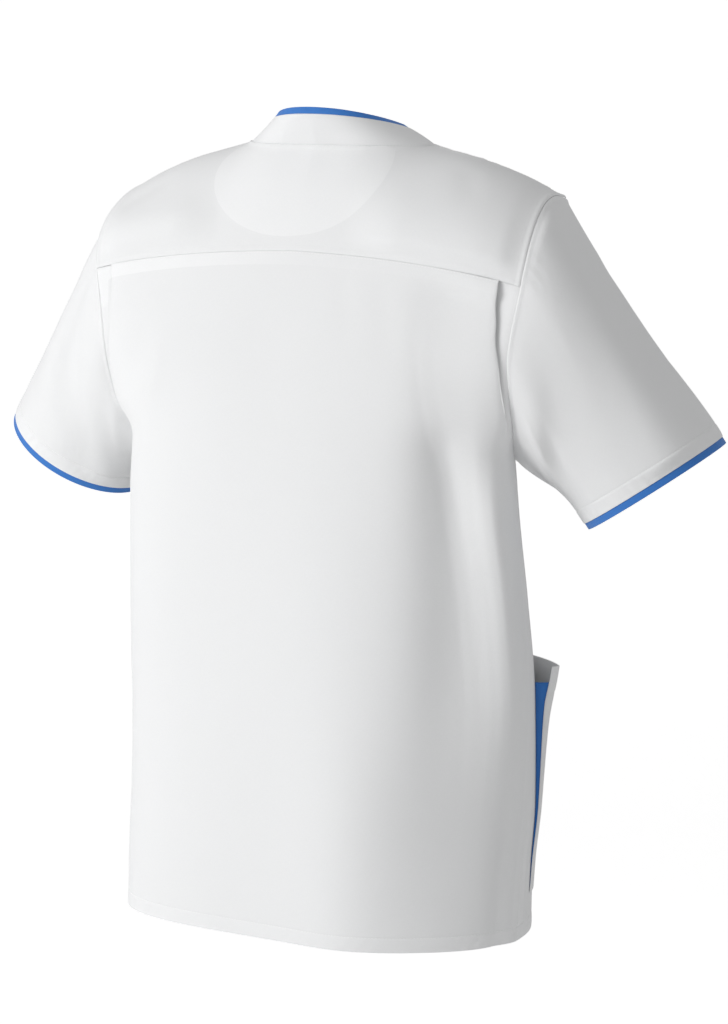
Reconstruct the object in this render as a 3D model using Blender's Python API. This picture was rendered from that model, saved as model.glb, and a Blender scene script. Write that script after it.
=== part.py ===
"""Short-sleeved slip-on scrub top, filled out as worn, with contrast trims.

Metres, +Z up, front towards -Y, the wearer's right towards -X. The origin is the middle of
the neck base, level with the two points where the shoulder seams meet the neckband.
Every piece of cloth is a wall between two grids of points, one moved out from the sheet's
middle and one moved in. Pieces that are sewn together share the points of their seam.
"""
import bmesh
import bpy
import numpy as np

MM = 0.001

# Driving sizes in millimetres
CLOTH = 1.2             # wall of the single cloth
BAND_CLOTH = 1.6        # wall of the doubled bands and trims
SEAM_GAP = 0.3          # open gap between two pieces along a seam
LAID_ON = CLOTH + SEAM_GAP      # from the middle of a panel to that of a piece laid on it
MITRE_LIMIT = 0.6       # least cosine of a mitre, so that a sharp corner stays short
NECK_HALF = 97.0        # half width of the neck seam, at the shoulder seams
NECK_LEVEL = -2.3       # height of the neck seam across the nape
V_POINT = -250.0        # height of the lowest point of the V of the neck seam
V_BOW = 0.93            # 1 is a straight V, less bows it outwards
SHOULDER_HALF = 220.0   # half width over the shoulder seams
BAND_INNER_HALF = 68.0  # half width of the neckband's free edge
BAND_NAPE_Y = 54.0      # how far back that edge lies at the nape
BAND_NAPE_Z = 28.0      # and how high it stands there
BAND_SIDE_Z = 13.0      # and how high at the sides of the neck
BAND_V_POINT = -168.0   # height of the point of its V
TRIM = 7.0              # width of the contrast strips
FACING_HALF = 96.0      # half width of the half-moon facing
FACING_DEPTH = 92.0     # its depth below the neck seam at centre back
FACING_SIDE = 30.0      # and the length of its straight sides
FACING_TOP = 3.0        # its top edge lies this far below the neck seam
BAND_V_BOW = 1.04       # how the neckband's V is bowed: 1 is straight
BAND_ROUNDNESS = 2.2    # how round its free edge runs from the nape to the sides
FACING_CLEAR = 0.4      # more room between it and the yoke, whose facets it crosses
FACING_SHORT = 0.1      # it ends this share of a column short of the shoulder seams
POCKET_GAPE = 23.0      # how far the pocket's top corner stands off
GUSSET_STOP = 15.0      # the gusset ends this far below the pocket's top edge

# The back panel and the side seams: a row for each level, hem to yoke seam.
# height and depth lie on centre back; the side point is the side seam, then the armhole.
# pull is the share of the width over which the centre and the side stay straight.
BACK_NAMES = ("up", "height", "depth", "side_x", "side_y", "side_z", "pull", "turn", "side_pull")
BACK_ROWS = (
    (0.00, -757, 132, 208, 28, -757, 0.74, 90, 0.72),
    (0.09, -690, 130, 209, 20, -690, 0.74, 90, 0.72),
    (0.18, -632, 128, 210, 8, -632, 0.74, 90, 0.72),
    (0.34, -525, 126, 210, 1, -525, 0.76, 90, 0.74),
    (0.48, -430, 126, 207, 8, -430, 0.78, 90, 0.76),
    (0.62, -345, 125, 204, 20, -345, 0.78, 88, 0.76),
    (0.72, -285, 121, 203, 28, -290, 0.78, 80, 0.78),
    (0.80, -235, 113, 215, 57, -255, 0.76, 60, 0.70),
    (0.90, -165, 98, 219, 76, -188, 0.66, 30, 0.50),
    (1.00, -100, 84, 229, 71, -126, 0.52, 16, 0.40),
)
UNDERARM = 0.72         # level where the side seam meets the armhole

# The front below the armholes shares the side seams; depth lies on centre front.
FRONT_NAMES = ("up", "depth", "pull", "turn", "side_pull")
FRONT_ROWS = (
    (0.00, -122, 0.62, 90, 0.62),
    (0.18, -120, 0.62, 86, 0.60),
    (0.34, -118, 0.60, 78, 0.54),
    (0.48, -114, 0.56, 72, 0.52),
    (0.62, -110, 0.52, 66, 0.50),
    (0.72, -106, 0.50, 62, 0.48),
)

# Line of the shoulder seams, carried on across the neck where it is cut away
SHOULDER_NAMES = ("x", "y", "z")
SHOULDER_ROWS = (
    (0, -22, 38),
    (40, -20, 30),
    (97, -14, -2),
    (150, -20, -17),
    (190, -34, -34),
    (220, -46, -52),
)

# The wearer's left cuff; the right one mirrors it
CUFF_CENTRE = np.array((316.0, -40.0, -313.0))
CUFF_AXIS = np.array((0.531, -0.146, -0.835))
CUFF_OUT = 77.0         # half width away from the body
CUFF_BACK = 73.0        # half width front to back

# Ways in which the sheets set out from a seam or reach it, and how strongly, in shares of their length
YOKE_TURN = 0.35        # how steeply the yoke meets the shoulder line: up in the middle, down at the sides
YOKE_TURN_AT = 0.45     # share of the shoulder where it lies level
YOKE_LEAVE = 1.25       # pull of the back's own slope on the yoke
YOKE_LEAVE_MIDDLE = 0.25    # and more of it in the middle
YOKE_ARRIVE = 1.1
SCOOP_FROM = 0.72       # the front's armhole is scooped out from this share of its width
SCOOP_WAY = np.array((-0.55, -0.80, 0.25))
SCOOP_SLACK = 0.15
CHEST_OUT = 0.12        # the chest leans out towards the shoulder's end
CHEST_ARRIVE = (0.62, 0.75)
SLEEVE_OVER_WAY = np.array((0.52, 0, -0.85))
SLEEVE_UNDER_WAY = np.array((0.66, 0, -0.75))
SLEEVE_SIDE_WAY = np.array((0.78, 0.02, -0.62))
SLEEVE_LEAVE = 0.85
SLEEVE_ARRIVE = 0.9

# Pleat: share of its width, and how far its edge lifts off, from the armhole's foot up
PLEAT_LINE_NAMES = ("flat", "away", "over")     # how far from the armhole, flat and folded, and its height
PLEAT_LINE = (
    (22, 25, 0.55),
    (15, 16, 1.00),
    (10, 18.5, -0.15),
    (5, 8, -0.10),
)
PLEAT_NAMES = ("up", "width", "lift")
PLEAT_ROWS = (
    (0.80, 0.0, 0.0),
    (0.86, 0.45, 2.2),
    (0.92, 0.70, 3.0),
    (1.00, 1.0, 1.0),
)

# Gape of the pocket's outer edge, from its foot to its top
GAPE_NAMES = ("rise", "share")
GAPE_ROWS = ((0.0, 0.0), (0.2, 0.10), (0.5, 0.28), (0.75, 0.50), (1.0, 1.0))

# How finely the pieces are divided
BODY_ROWS = (0.0, 0.052, 0.12, 0.19, 0.255, 0.315, 0.378, 0.46, 0.54, 0.62, 0.68, UNDERARM)
POCKET_ROWS = (1, 6)            # rows of the front at the pocket's foot and top edge
POCKET_COLUMNS = (4, 12)        # columns of the front, from centre front, at its two sides
GUSSET_FOOT = 0.2               # the gusset starts at this share of the pocket's height
GUSSET_BULGE = 0.12             # how far its middle bows out, as a share of its width
GUSSET_ROWS = 7
ARMHOLE_ROWS = 8
YOKE_ROWS = 7
FACING_ROWS = 5
CHEST_ROWS = 10
NECK_COLUMNS = 7
SHOULDER_COLUMNS = (0.36, 0.5, 0.64, 0.76, 0.86, 0.935, 1.0)
SHOULDER_FROM = 0.2             # the neck's own place on that scale
NECK_CROWDING = 0.85            # below 1 the yoke's columns lie closer towards the sides of the neck
SLEEVE_ROWS = (0, 0.04, 0.16, 0.33, 0.5, 0.67, 0.84, 1)

WHITE = (0.86, 0.87, 0.88, 1.0)
BLUE = (0.06, 0.20, 0.55, 1.0)


# ---- curves --------------------------------------------------------------------------

def column(rows, names, name, at):
    """One named column of a table, read smoothly and without overshoot at a first-column value."""
    x = np.array([row[0] for row in rows], float)
    y = np.array([row[names.index(name)] for row in rows], float)
    step = np.diff(x)
    slope = np.diff(y) / step
    tangent = np.concatenate(([slope[0]], np.zeros(len(x) - 2), [slope[-1]]))
    for i in range(1, len(x) - 1):
        if slope[i - 1] * slope[i] > 0:
            before = 2 * step[i] + step[i - 1]
            after = step[i] + 2 * step[i - 1]
            tangent[i] = (before + after) / (before / slope[i - 1] + after / slope[i])
    at = np.clip(np.asarray(at, float), x[0], x[-1])
    i = np.clip(np.searchsorted(x, at, side="right") - 1, 0, len(x) - 2)
    t = (at - x[i]) / step[i]
    return ((1 + 2 * t) * (1 - t) ** 2 * y[i] + t * (1 - t) ** 2 * step[i] * tangent[i]
            + t * t * (3 - 2 * t) * y[i + 1] - t * t * (1 - t) * step[i] * tangent[i + 1])


def points(x, y, z):
    x, y, z = np.broadcast_arrays(np.asarray(x, float), y, z)
    return np.stack([x, y, z], -1)


def length(vectors):
    return np.linalg.norm(vectors, axis=-1, keepdims=True)


def unit(vectors):
    return vectors / np.maximum(length(vectors), 1e-12)


def ease(t):
    t = np.clip(t, 0, 1)
    return t * t * (3 - 2 * t)


def bow(t, start, start_pull, end_pull, end):
    """Bezier curve through start and end."""
    t = np.asarray(t)[..., None]
    return ((1 - t) ** 3 * start + 3 * t * (1 - t) ** 2 * start_pull
            + 3 * t * t * (1 - t) * end_pull + t ** 3 * end)


def run(t, start, end, leave, arrive):
    """Curve from start to end that leaves and arrives along two vectors."""
    t = np.asarray(t)[..., None]
    return ((1 + 2 * t) * (1 - t) ** 2 * start + t * (1 - t) ** 2 * leave
            + t * t * (3 - 2 * t) * end - t * t * (1 - t) * arrive)


def solve(rising, shape, steps=40):
    """Value from 0 to 1 at which a rising function crosses zero, by halving."""
    low, high = np.zeros(shape), np.ones(shape)
    for _ in range(steps):
        middle = (low + high) / 2
        below = rising(middle) < 0
        low = np.where(below, middle, low)
        high = np.where(below, high, middle)
    return (low + high) / 2


def both_sides(sheet, across):
    """Mirror the points of one half where across is negative."""
    return sheet * np.where(np.asarray(across)[..., None] < 0, (-1, 1, 1), (1, 1, 1))


# ---- sheets of cloth -----------------------------------------------------------------

def back_sheet(up, across):
    up, across = np.broadcast_arrays(np.asarray(up, float), np.asarray(across, float))
    z, y, side_x, side_y, side_z, pull, turn, side_pull = (
        column(BACK_ROWS, BACK_NAMES, name, up) for name in BACK_NAMES[1:])
    angle = np.radians(turn)
    reach = side_pull * np.hypot(y - side_y, 0.35 * side_x * np.cos(angle))
    centre = points(0, y, z)
    centre_pull = points(pull * side_x, y, z + 0.1 * (side_z - z))
    edge_pull = points(side_x - reach * np.cos(angle), side_y + reach * np.sin(angle),
                       side_z + 0.35 * (z - side_z))
    edge = points(side_x, side_y, side_z)
    return both_sides(bow(np.abs(across), centre, centre_pull, edge_pull, edge), across)


def front_low_sheet(up, across):
    up, across = np.broadcast_arrays(np.asarray(up, float), np.asarray(across, float))
    side_x, side_y, side_z = (column(BACK_ROWS, BACK_NAMES, name, up)
                              for name in ("side_x", "side_y", "side_z"))
    y, pull, turn, side_pull = (column(FRONT_ROWS, FRONT_NAMES, name, up) for name in FRONT_NAMES[1:])
    angle = np.radians(turn)
    reach = side_pull * (side_y - y)
    centre = points(0, y, side_z)
    centre_pull = points(pull * side_x, y, side_z)
    edge_pull = points(side_x - reach * np.cos(angle), side_y - reach * np.sin(angle), side_z)
    edge = points(side_x, side_y, side_z)
    return both_sides(bow(np.abs(across), centre, centre_pull, edge_pull, edge), across)


def shoulder_line(x):
    return points(x, column(SHOULDER_ROWS, SHOULDER_NAMES, "y", x),
                  column(SHOULDER_ROWS, SHOULDER_NAMES, "z", x))


def upward(sheet, up, across, step=1e-3):
    return unit(sheet(up, across) - sheet(up - step, across))


def yoke_reach(across):
    """Where a column of the yoke meets the shoulder line, as a distance from the centre."""
    return SHOULDER_HALF * back_sheet(1.0, across)[..., 0] / BACK_ROWS[-1][3]


def yoke_sheet(up, across):
    """The back of the shoulders, from the yoke seam over to the line of the shoulder seams."""
    up, across = np.broadcast_arrays(np.asarray(up, float), np.asarray(across, float))
    half = np.abs(across)
    start = back_sheet(1.0, half)
    end = shoulder_line(yoke_reach(half))
    share = end[..., 0] / SHOULDER_HALF
    span = length(end - start)
    up_share, down_share = ease(share / YOKE_TURN_AT), ease((share - YOKE_TURN_AT) / (1 - YOKE_TURN_AT))
    rise = YOKE_TURN * (1 - up_share - down_share)
    pull = YOKE_LEAVE + YOKE_LEAVE_MIDDLE * (1 - ease(2 * share))
    leave = upward(back_sheet, 1.0, half) * span * pull[..., None]
    arrive = unit(points(0, -1, rise)) * span * YOKE_ARRIVE
    return both_sides(run(up, start, end, leave, arrive), across)


def chest_reach(across):
    """Where a column of the front meets the shoulder line."""
    return SHOULDER_HALF * front_low_sheet(UNDERARM, across)[..., 0] / BACK_ROWS[6][3]


def chest_sheet(up, across):
    """The front above the underarm level, up to the line of the shoulder seams."""
    up, across = np.broadcast_arrays(np.asarray(up, float), np.asarray(across, float))
    half = np.abs(across)
    start = front_low_sheet(UNDERARM, half)
    end = shoulder_line(chest_reach(half))
    span = length(end - start)
    scoop = ease((half - SCOOP_FROM) / (1 - SCOOP_FROM))[..., None]
    leave = unit(upward(front_low_sheet, UNDERARM, half) * (1 - scoop) + unit(SCOOP_WAY) * scoop)
    arrive = unit(points(CHEST_OUT * end[..., 0] / SHOULDER_HALF, *CHEST_ARRIVE))
    return both_sides(run(up, start, end, leave * span * (1 - SCOOP_SLACK * scoop), arrive * span), across)


def neck_cut_back(across):
    """How far up each column of the yoke reaches: to the neck seam, or the shoulder seam."""
    half = np.abs(np.asarray(across, float))
    level = solve(lambda up: yoke_sheet(up, half)[..., 2] - NECK_LEVEL, half.shape)
    return np.where(yoke_reach(half) < NECK_HALF - 0.01, level, 1.0)


def neck_cut_front(across):
    """How far up each column of the front reaches: to the V of the neck, or the shoulder seam."""
    half = np.abs(np.asarray(across, float))
    top = column(SHOULDER_ROWS, SHOULDER_NAMES, "z", NECK_HALF)

    def above_cut(up):
        sheet = chest_sheet(up, half)
        out = np.clip(sheet[..., 0] / NECK_HALF, 0, 1)
        return sheet[..., 2] - (V_POINT + (top - V_POINT) * out ** V_BOW)

    return np.where(chest_reach(half) < NECK_HALF - 0.01, solve(above_cut, half.shape), 1.0)


# ---- grids of the pieces -------------------------------------------------------------

def mirrored(values):
    """A list from 0 outwards, given on both sides."""
    return np.concatenate([-np.asarray(values)[:0:-1], values])


def front_columns():
    neck_end = float(solve(lambda across: chest_reach(across) - NECK_HALF, ()))
    neck = np.linspace(0, 1, NECK_COLUMNS + 1) * neck_end
    outer = neck_end + (1 - neck_end) * (np.array(SHOULDER_COLUMNS) - SHOULDER_FROM) / (1 - SHOULDER_FROM)
    return np.concatenate([neck, outer])


def back_columns():
    """Columns that meet the front's along the shoulder seam, and follow the neck's curve."""
    at_neck = NECK_HALF * np.sin(np.linspace(0, np.pi / 2, NECK_COLUMNS + 1)) ** NECK_CROWDING
    at_shoulder = chest_reach(front_columns()[NECK_COLUMNS + 1:])
    wanted = np.concatenate([at_neck, at_shoulder])
    columns = solve(lambda across: yoke_reach(across) - wanted, wanted.shape)
    columns[0] = 0.0
    columns[-1] = 1.0
    return columns


def front_grid():
    across = mirrored(front_columns())
    low = front_low_sheet(np.array(BODY_ROWS)[:, None], across)
    rise = np.linspace(0, 1, CHEST_ROWS + 1)[1:, None]
    return np.concatenate([low, chest_sheet(rise * neck_cut_front(across), across)])


def yoke_grid():
    across = mirrored(back_columns())
    return yoke_sheet(np.linspace(0, 1, YOKE_ROWS + 1)[:, None] * neck_cut_back(across), across)


def back_grid():
    across = mirrored(back_columns())
    up = np.concatenate([BODY_ROWS, np.linspace(UNDERARM, 1, ARMHOLE_ROWS + 1)[1:]])
    return back_sheet(up[:, None], across), up


def armhole(back, yoke, front):
    """Ring of points around the left armhole: underarm, up the back, over, down the front."""
    foot = len(BODY_ROWS) - 1
    return np.concatenate([back[foot:, -1], yoke[1:, -1], front[foot + 1:-1, -1][::-1]])


def sleeve_grid(ring):
    """Rows from the armhole to the cuff of the left sleeve; the first column is the underarm."""
    closed = np.concatenate([ring, ring[:1]])
    walked = np.concatenate([[0], np.cumsum(length(np.diff(closed, axis=0))[:, 0])])
    top = ARMHOLE_ROWS + YOKE_ROWS - 1
    share = np.where(walked < walked[top], walked / walked[top],
                     1 + (walked - walked[top]) / (walked[-1] - walked[top]))
    angle = np.pi * (1 - share)
    axis = unit(CUFF_AXIS)
    back = unit(np.array((0.0, 1.0, 0.0)) - axis * axis[1])
    out = np.cross(axis, back)
    out = out * np.sign(out[0])
    cuff = (CUFF_CENTRE + CUFF_OUT * np.cos(angle)[:, None] * out
            + CUFF_BACK * np.sin(angle)[:, None] * back)
    span = length(cuff - closed)
    over = np.clip(np.cos(angle), 0, 1)[:, None]
    under = np.clip(-np.cos(angle), 0, 1)[:, None]
    leave = unit(SLEEVE_OVER_WAY * over + SLEEVE_UNDER_WAY * under + SLEEVE_SIDE_WAY * (1 - over - under))
    down = np.array(SLEEVE_ROWS)[:, None]
    grid = run(down, closed, cuff, leave * span * SLEEVE_LEAVE, axis * span * SLEEVE_ARRIVE)
    return grid, cuff + axis * TRIM


def neck_loop(yoke, front):
    """The neck seam as a loop: across the nape from right to left, then down and up the V."""
    neck = slice(len(SHOULDER_COLUMNS), -len(SHOULDER_COLUMNS))
    return np.concatenate([yoke[-1, neck], front[-1, neck][-2::-1]])


def chest_depth(x, z):
    """How far forward the front lies at a given place, also where the neck is cut away."""
    across = solve(lambda columns: chest_reach(columns) - np.abs(x), x.shape)
    up = solve(lambda rows: chest_sheet(rows, across)[..., 2] - z, x.shape)
    return chest_sheet(up, across)[..., 1]


def band_edge(loop):
    """The neckband's free edge, point for point with the neck seam."""
    share = np.clip(np.abs(loop[:, 0]) / NECK_HALF, 0, 1)
    x = loop[:, 0] * BAND_INNER_HALF / NECK_HALF
    front_z = BAND_SIDE_Z - (BAND_SIDE_Z - BAND_V_POINT) * (1 - share) ** BAND_V_BOW
    front_y = chest_depth(x, front_z)
    side_y = chest_depth(np.array([BAND_INNER_HALF]), np.array([BAND_SIDE_Z]))[0]
    round_back = np.sqrt(np.clip(1 - share ** BAND_ROUNDNESS, 0, 1))
    back_y = BAND_NAPE_Y * round_back + side_y * (1 - round_back)
    back_z = BAND_SIDE_Z + (BAND_NAPE_Z - BAND_SIDE_Z) * round_back
    nape = np.arange(len(loop)) <= 2 * NECK_COLUMNS
    return points(x, np.where(nape, back_y, front_y), np.where(nape, back_z, front_z))


def widened(edge, inner, width):
    """A further row of points beyond an edge, straight on from the inner row."""
    return edge + unit(edge - inner) * width


def pleated(grid, up):
    """The back panel with a soft pleat beside each armhole, below the yoke seam."""
    width = column(PLEAT_ROWS, PLEAT_NAMES, "width", up)[:, None, None]
    lift = column(PLEAT_ROWS, PLEAT_NAMES, "lift", up)[:, None, None]
    out = outward(grid, 1)
    flat, away_folded, over = np.array(PLEAT_LINE, float).T
    sides = []
    for edge, inner in ((0, 1), (-1, -2)):
        inwards = unit(grid[:, inner] - grid[:, edge])[:, None]
        rim = grid[:, edge:edge + 1 or None]
        rim_out = out[:, edge:edge + 1 or None]
        away = (flat + (away_folded - flat) * width[:, :, 0])[..., None]
        raised = (over * lift[:, :, 0])[..., None]
        sides.append(rim + inwards * away + rim_out * raised)
    right, left = sides
    return np.concatenate([grid[:, :1], right[:, ::-1], grid[:, 1:-1], left, grid[:, -1:]], axis=1)


def facing_grid(yoke, out):
    """Half-moon inside the nape, on the yoke's own columns, with the directions it is laid on."""
    middle = yoke.shape[1] // 2
    places = np.linspace(-1, 1, 2 * NECK_COLUMNS + 1) * (NECK_COLUMNS - FACING_SHORT)
    sheet = np.concatenate([yoke, out], axis=-1)
    grid = []
    for place in places:
        first = min(int(np.floor(place + middle)), middle + NECK_COLUMNS - 1)
        share = place + middle - first
        line = (sheet[:, first] * (1 - share) + sheet[:, first + 1] * share)[::-1]
        walked = np.concatenate([[0], np.cumsum(length(np.diff(line[:, :3], axis=0))[:, 0])])
        aside = np.clip(np.abs(line[0, 0]) / FACING_HALF, 0, 1)
        depth = FACING_SIDE + (FACING_DEPTH - FACING_SIDE) * np.sqrt(1 - aside ** 2)
        wanted = np.linspace(depth, FACING_TOP, FACING_ROWS + 1)
        grid.append(np.stack([np.interp(wanted, walked, line[:, axis]) for axis in range(6)], -1))
    grid = np.swapaxes(np.array(grid), 0, 1)
    square = unit(grid[..., 3:])
    return grid[..., :3] - square * (LAID_ON + FACING_CLEAR), square


def pocket_grids(front, out):
    """The left pocket and its gusset, from the front's own points and directions."""
    foot, top = POCKET_ROWS
    middle = front.shape[1] // 2
    near, far = (middle + place for place in POCKET_COLUMNS)
    rows, columns = slice(foot, top + 1), slice(near, far + 1)
    panel, square = front[rows, columns], unit(out[rows, columns])
    climbed = np.cumsum(length(np.diff(panel[:, -1], axis=0))[:, 0])
    rise = np.concatenate([[0], climbed / climbed[-1]])
    across = np.linspace(0, 1, panel.shape[1]) ** 2
    lift = LAID_ON + POCKET_GAPE * column(GAPE_ROWS, GAPE_NAMES, "share", rise)[:, None] * across
    pocket = panel + square * lift[..., None]

    stop = 1 - GUSSET_STOP / climbed[-1]
    levels = np.linspace(GUSSET_FOOT, stop, GUSSET_ROWS + 1)

    def at_levels(line):
        return np.stack([np.interp(levels, rise, line[:, axis]) for axis in range(3)], -1)

    pocket_out = outward(pocket, -1)
    base, edge = at_levels(panel[:, -1]), at_levels(pocket[:, -1])
    sideways = unit(at_levels(front[rows, far + 1]) - base)
    over = unit(at_levels(pocket[:, -1] - pocket[:, -2]))
    root = base + unit(at_levels(square[:, -1])) * (CLOTH + SEAM_GAP) - sideways * CLOTH
    tip = edge - unit(at_levels(pocket_out[:, -1])) * (CLOTH + SEAM_GAP) - over * CLOTH
    belly = (root + tip) / 2 + sideways * GUSSET_BULGE * length(tip - root)
    gusset = np.stack([root, belly, tip], axis=1)
    return (pocket, pocket_out), (gusset, outward(gusset, -1))


# ---- walls of cloth ------------------------------------------------------------------

def outward(grid, side, closed=False):
    """Unit vectors square to a sheet. side is 1 or -1, so that they point out of the garment."""
    if closed:
        ring = np.concatenate([grid[:, -2:-1], grid, grid[:, 1:2]], axis=1)
        along = (ring[:, 2:] - ring[:, :-2])
    else:
        along = np.gradient(grid, axis=1)
    return unit(np.cross(np.gradient(grid, axis=0), along)) * side


def key(point):
    return tuple(np.round(point, 2))


def shared_outward(sheets):
    """For the points that lie on more than one sewn sheet, one direction for all of them."""
    sums = {}
    for grid, out in sheets:
        rim = set()
        rows, columns = grid.shape[:2]
        rim.update((row, place) for row in range(rows) for place in (0, columns - 1))
        rim.update((row, place) for row in (0, rows - 1) for place in range(columns))
        seen = {}
        for row, place in rim:
            seen[key(grid[row, place])] = out[row, place]
        for name, vector in seen.items():
            sums[name] = sums.get(name, 0) + vector
    return sums


def evened(shared, loop, passes=3):
    """Let the shared directions turn gradually along a closed seam."""
    names = [key(point) for point in loop]
    for _ in range(passes):
        turns = np.array([unit(shared[name]) for name in names])
        turns = unit(np.roll(turns, 1, axis=0) + 2 * turns + np.roll(turns, -1, axis=0))
        shared.update(zip(names, turns))


def mitred(grid, out, shared):
    """Directions of a sheet, turned to the shared ones along its seams."""
    out = out.copy()
    rows, columns = grid.shape[:2]
    for row in range(rows):
        for place in range(columns):
            if row in (0, rows - 1) or place in (0, columns - 1):
                common = unit(shared.get(key(grid[row, place]), out[row, place]))
                out[row, place] = common / max(float(common @ out[row, place]), MITRE_LIMIT)
    return out


def drawn_in(grid, out, closed=False, rows=(True, True)):
    """The sheet with its edges drawn back by half the seam gap."""
    moved = grid.copy()
    half = SEAM_GAP / 2

    def away(edge, inner, square):
        """Step along the sheet, square to the direction in which its wall grows."""
        step = inner - edge
        size = (square * square).sum(-1, keepdims=True)
        step = step - square * (step * square).sum(-1, keepdims=True) / size
        return unit(step) * half

    if rows[0]:
        moved[0] += away(grid[0], grid[1], out[0])
    if rows[1]:
        moved[-1] += away(grid[-1], grid[-2], out[-1])
    if not closed:
        moved[:, 0] += away(grid[:, 0], grid[:, 1], out[:, 0])
        moved[:, -1] += away(grid[:, -1], grid[:, -2], out[:, -1])
    return moved


def material(name, colour):
    cloth = bpy.data.materials.get(name) or bpy.data.materials.new(name)
    cloth.use_nodes = True
    shader = cloth.node_tree.nodes["Principled BSDF"]
    shader.inputs["Base Color"].default_value = colour
    shader.inputs["Roughness"].default_value = 0.85
    shader.inputs["Metallic"].default_value = 0.0
    return cloth


def wall(name, grid, out, thickness, cloth, closed=False):
    """A closed wall of cloth around a grid of points."""
    rows, columns = grid.shape[:2]
    mesh = bmesh.new()
    bmesh.ops.create_grid(mesh, x_segments=columns - 1, y_segments=rows - 1, size=1)
    place = mesh.verts.layers.int.new("place")
    for number, vert in enumerate(mesh.verts):
        vert[place] = number
        vert.co = grid[number // columns, number % columns] * MM
    if closed:
        bmesh.ops.remove_doubles(mesh, verts=mesh.verts, dist=1e-6)
    made = bmesh.ops.extrude_face_region(mesh, geom=mesh.faces[:])
    moved = {item for item in made["geom"] if isinstance(item, bmesh.types.BMVert)}
    for vert in mesh.verts:
        row, spot = divmod(vert[place], columns)
        side = 0.5 if vert in moved else -0.5
        vert.co = (grid[row, spot] + out[row, spot] * thickness * side) * MM
    bmesh.ops.recalc_face_normals(mesh, faces=mesh.faces)
    data = bpy.data.meshes.new(name)
    mesh.to_mesh(data)
    mesh.free()
    data.materials.append(cloth)
    data.shade_smooth()
    data.set_sharp_from_angle(angle=np.radians(50))
    piece = bpy.data.objects.new(name, data)
    bpy.context.scene.collection.objects.link(piece)
    return piece


def main():
    for item in list(bpy.data.objects):
        bpy.data.objects.remove(item)
    white, blue = material("white_twill", WHITE), material("blue_twill", BLUE)

    back, up = back_grid()
    yoke, front = yoke_grid(), front_grid()
    ring = armhole(back, yoke, front)
    sleeve, cuff_edge = sleeve_grid(ring)
    sleeve_trim = np.stack([sleeve[-1], cuff_edge])
    loop = neck_loop(yoke, front)
    free_edge = band_edge(loop)
    middle = (loop + free_edge) / 2
    band = np.stack([loop, middle, free_edge])
    neck_trim = np.stack([free_edge, widened(free_edge, middle, TRIM)])

    flip = np.array((-1.0, 1.0, 1.0))
    open_sheets = {"back": (back, 1), "yoke": (yoke, 1), "front": (front, -1)}
    sewn = {name: (grid, outward(grid, side)) for name, (grid, side) in open_sheets.items()}
    for name, grid, side in (("sleeve", sleeve, -1), ("sleeve_trim", sleeve_trim, -1),
                             ("band", band, 1), ("neck_trim", neck_trim, 1)):
        sewn[name] = (grid, outward(grid, side, closed=True))
    mirror_sleeves = [(grid * flip, out * flip) for grid, out in (sewn["sleeve"], sewn["sleeve_trim"])]
    shared = shared_outward(list(sewn.values()) + mirror_sleeves)
    for seam in (ring, ring * flip, loop[:-1], free_edge[:-1]):
        evened(shared, seam)
    turned = {name: mitred(grid, out, shared) for name, (grid, out) in sewn.items()}

    pleats = pleated(back, up)
    pleat_out = outward(pleats, 1)
    extra = pleats.shape[1] - back.shape[1]
    half = extra // 2
    pleat_out[:, 0], pleat_out[:, -1] = turned["back"][:, 0], turned["back"][:, -1]
    pleat_out[:, half + 1:-half - 1] = turned["back"][:, 1:-1]
    wall("back_panel", drawn_in(pleats, pleat_out), pleat_out, CLOTH, white)
    wall("back_yoke", drawn_in(yoke, turned["yoke"]), turned["yoke"], CLOTH, white)
    wall("front_panel", drawn_in(front, turned["front"]), turned["front"], CLOTH, white)
    for side, way, step in (("left", 1, 1), ("right", flip, -1)):
        for name, sheet, thick, cloth in (("sleeve_", sleeve, CLOTH, white),
                                          ("sleeve_trim_", sleeve_trim, BAND_CLOTH, blue)):
            out = turned[name.rstrip("_")]
            grid = drawn_in(sheet, out, closed=True)
            wall(name + side, (grid * way)[:, ::step], (out * way)[:, ::step], thick, cloth, closed=True)
    wall("neckband", drawn_in(band, turned["band"], closed=True), turned["band"], BAND_CLOTH,
         white, closed=True)
    wall("neck_trim", drawn_in(neck_trim, turned["neck_trim"], closed=True), turned["neck_trim"], BAND_CLOTH,
         blue, closed=True)
    facing, facing_out = facing_grid(yoke, sewn["yoke"][1])
    wall("neck_facing", facing, facing_out, CLOTH, white)
    laid = pocket_grids(front, sewn["front"][1])
    for side, way, step in (("left", 1, 1), ("right", flip, -1)):
        for name, (grid, out), cloth in zip(("pocket_", "pocket_gusset_"), laid, (white, blue)):
            wall(name + side, (grid * way)[:, ::step], (out * way)[:, ::step], CLOTH, cloth)


if __name__ == "__main__":
    main()
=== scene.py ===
"""Looks of a short-sleeved slip-on scrub top, filled out as worn, with blue contrast trims.

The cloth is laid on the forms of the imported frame: the same sheets, drawn finely, with their
seams, hems, pleats, creases and stitches. Lengths are in millimetres until a mesh is made.
"""

import bmesh
import bpy
import numpy as np
from bpy.props import FloatProperty, FloatVectorProperty, PointerProperty
from mathutils import Matrix, Vector


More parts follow.
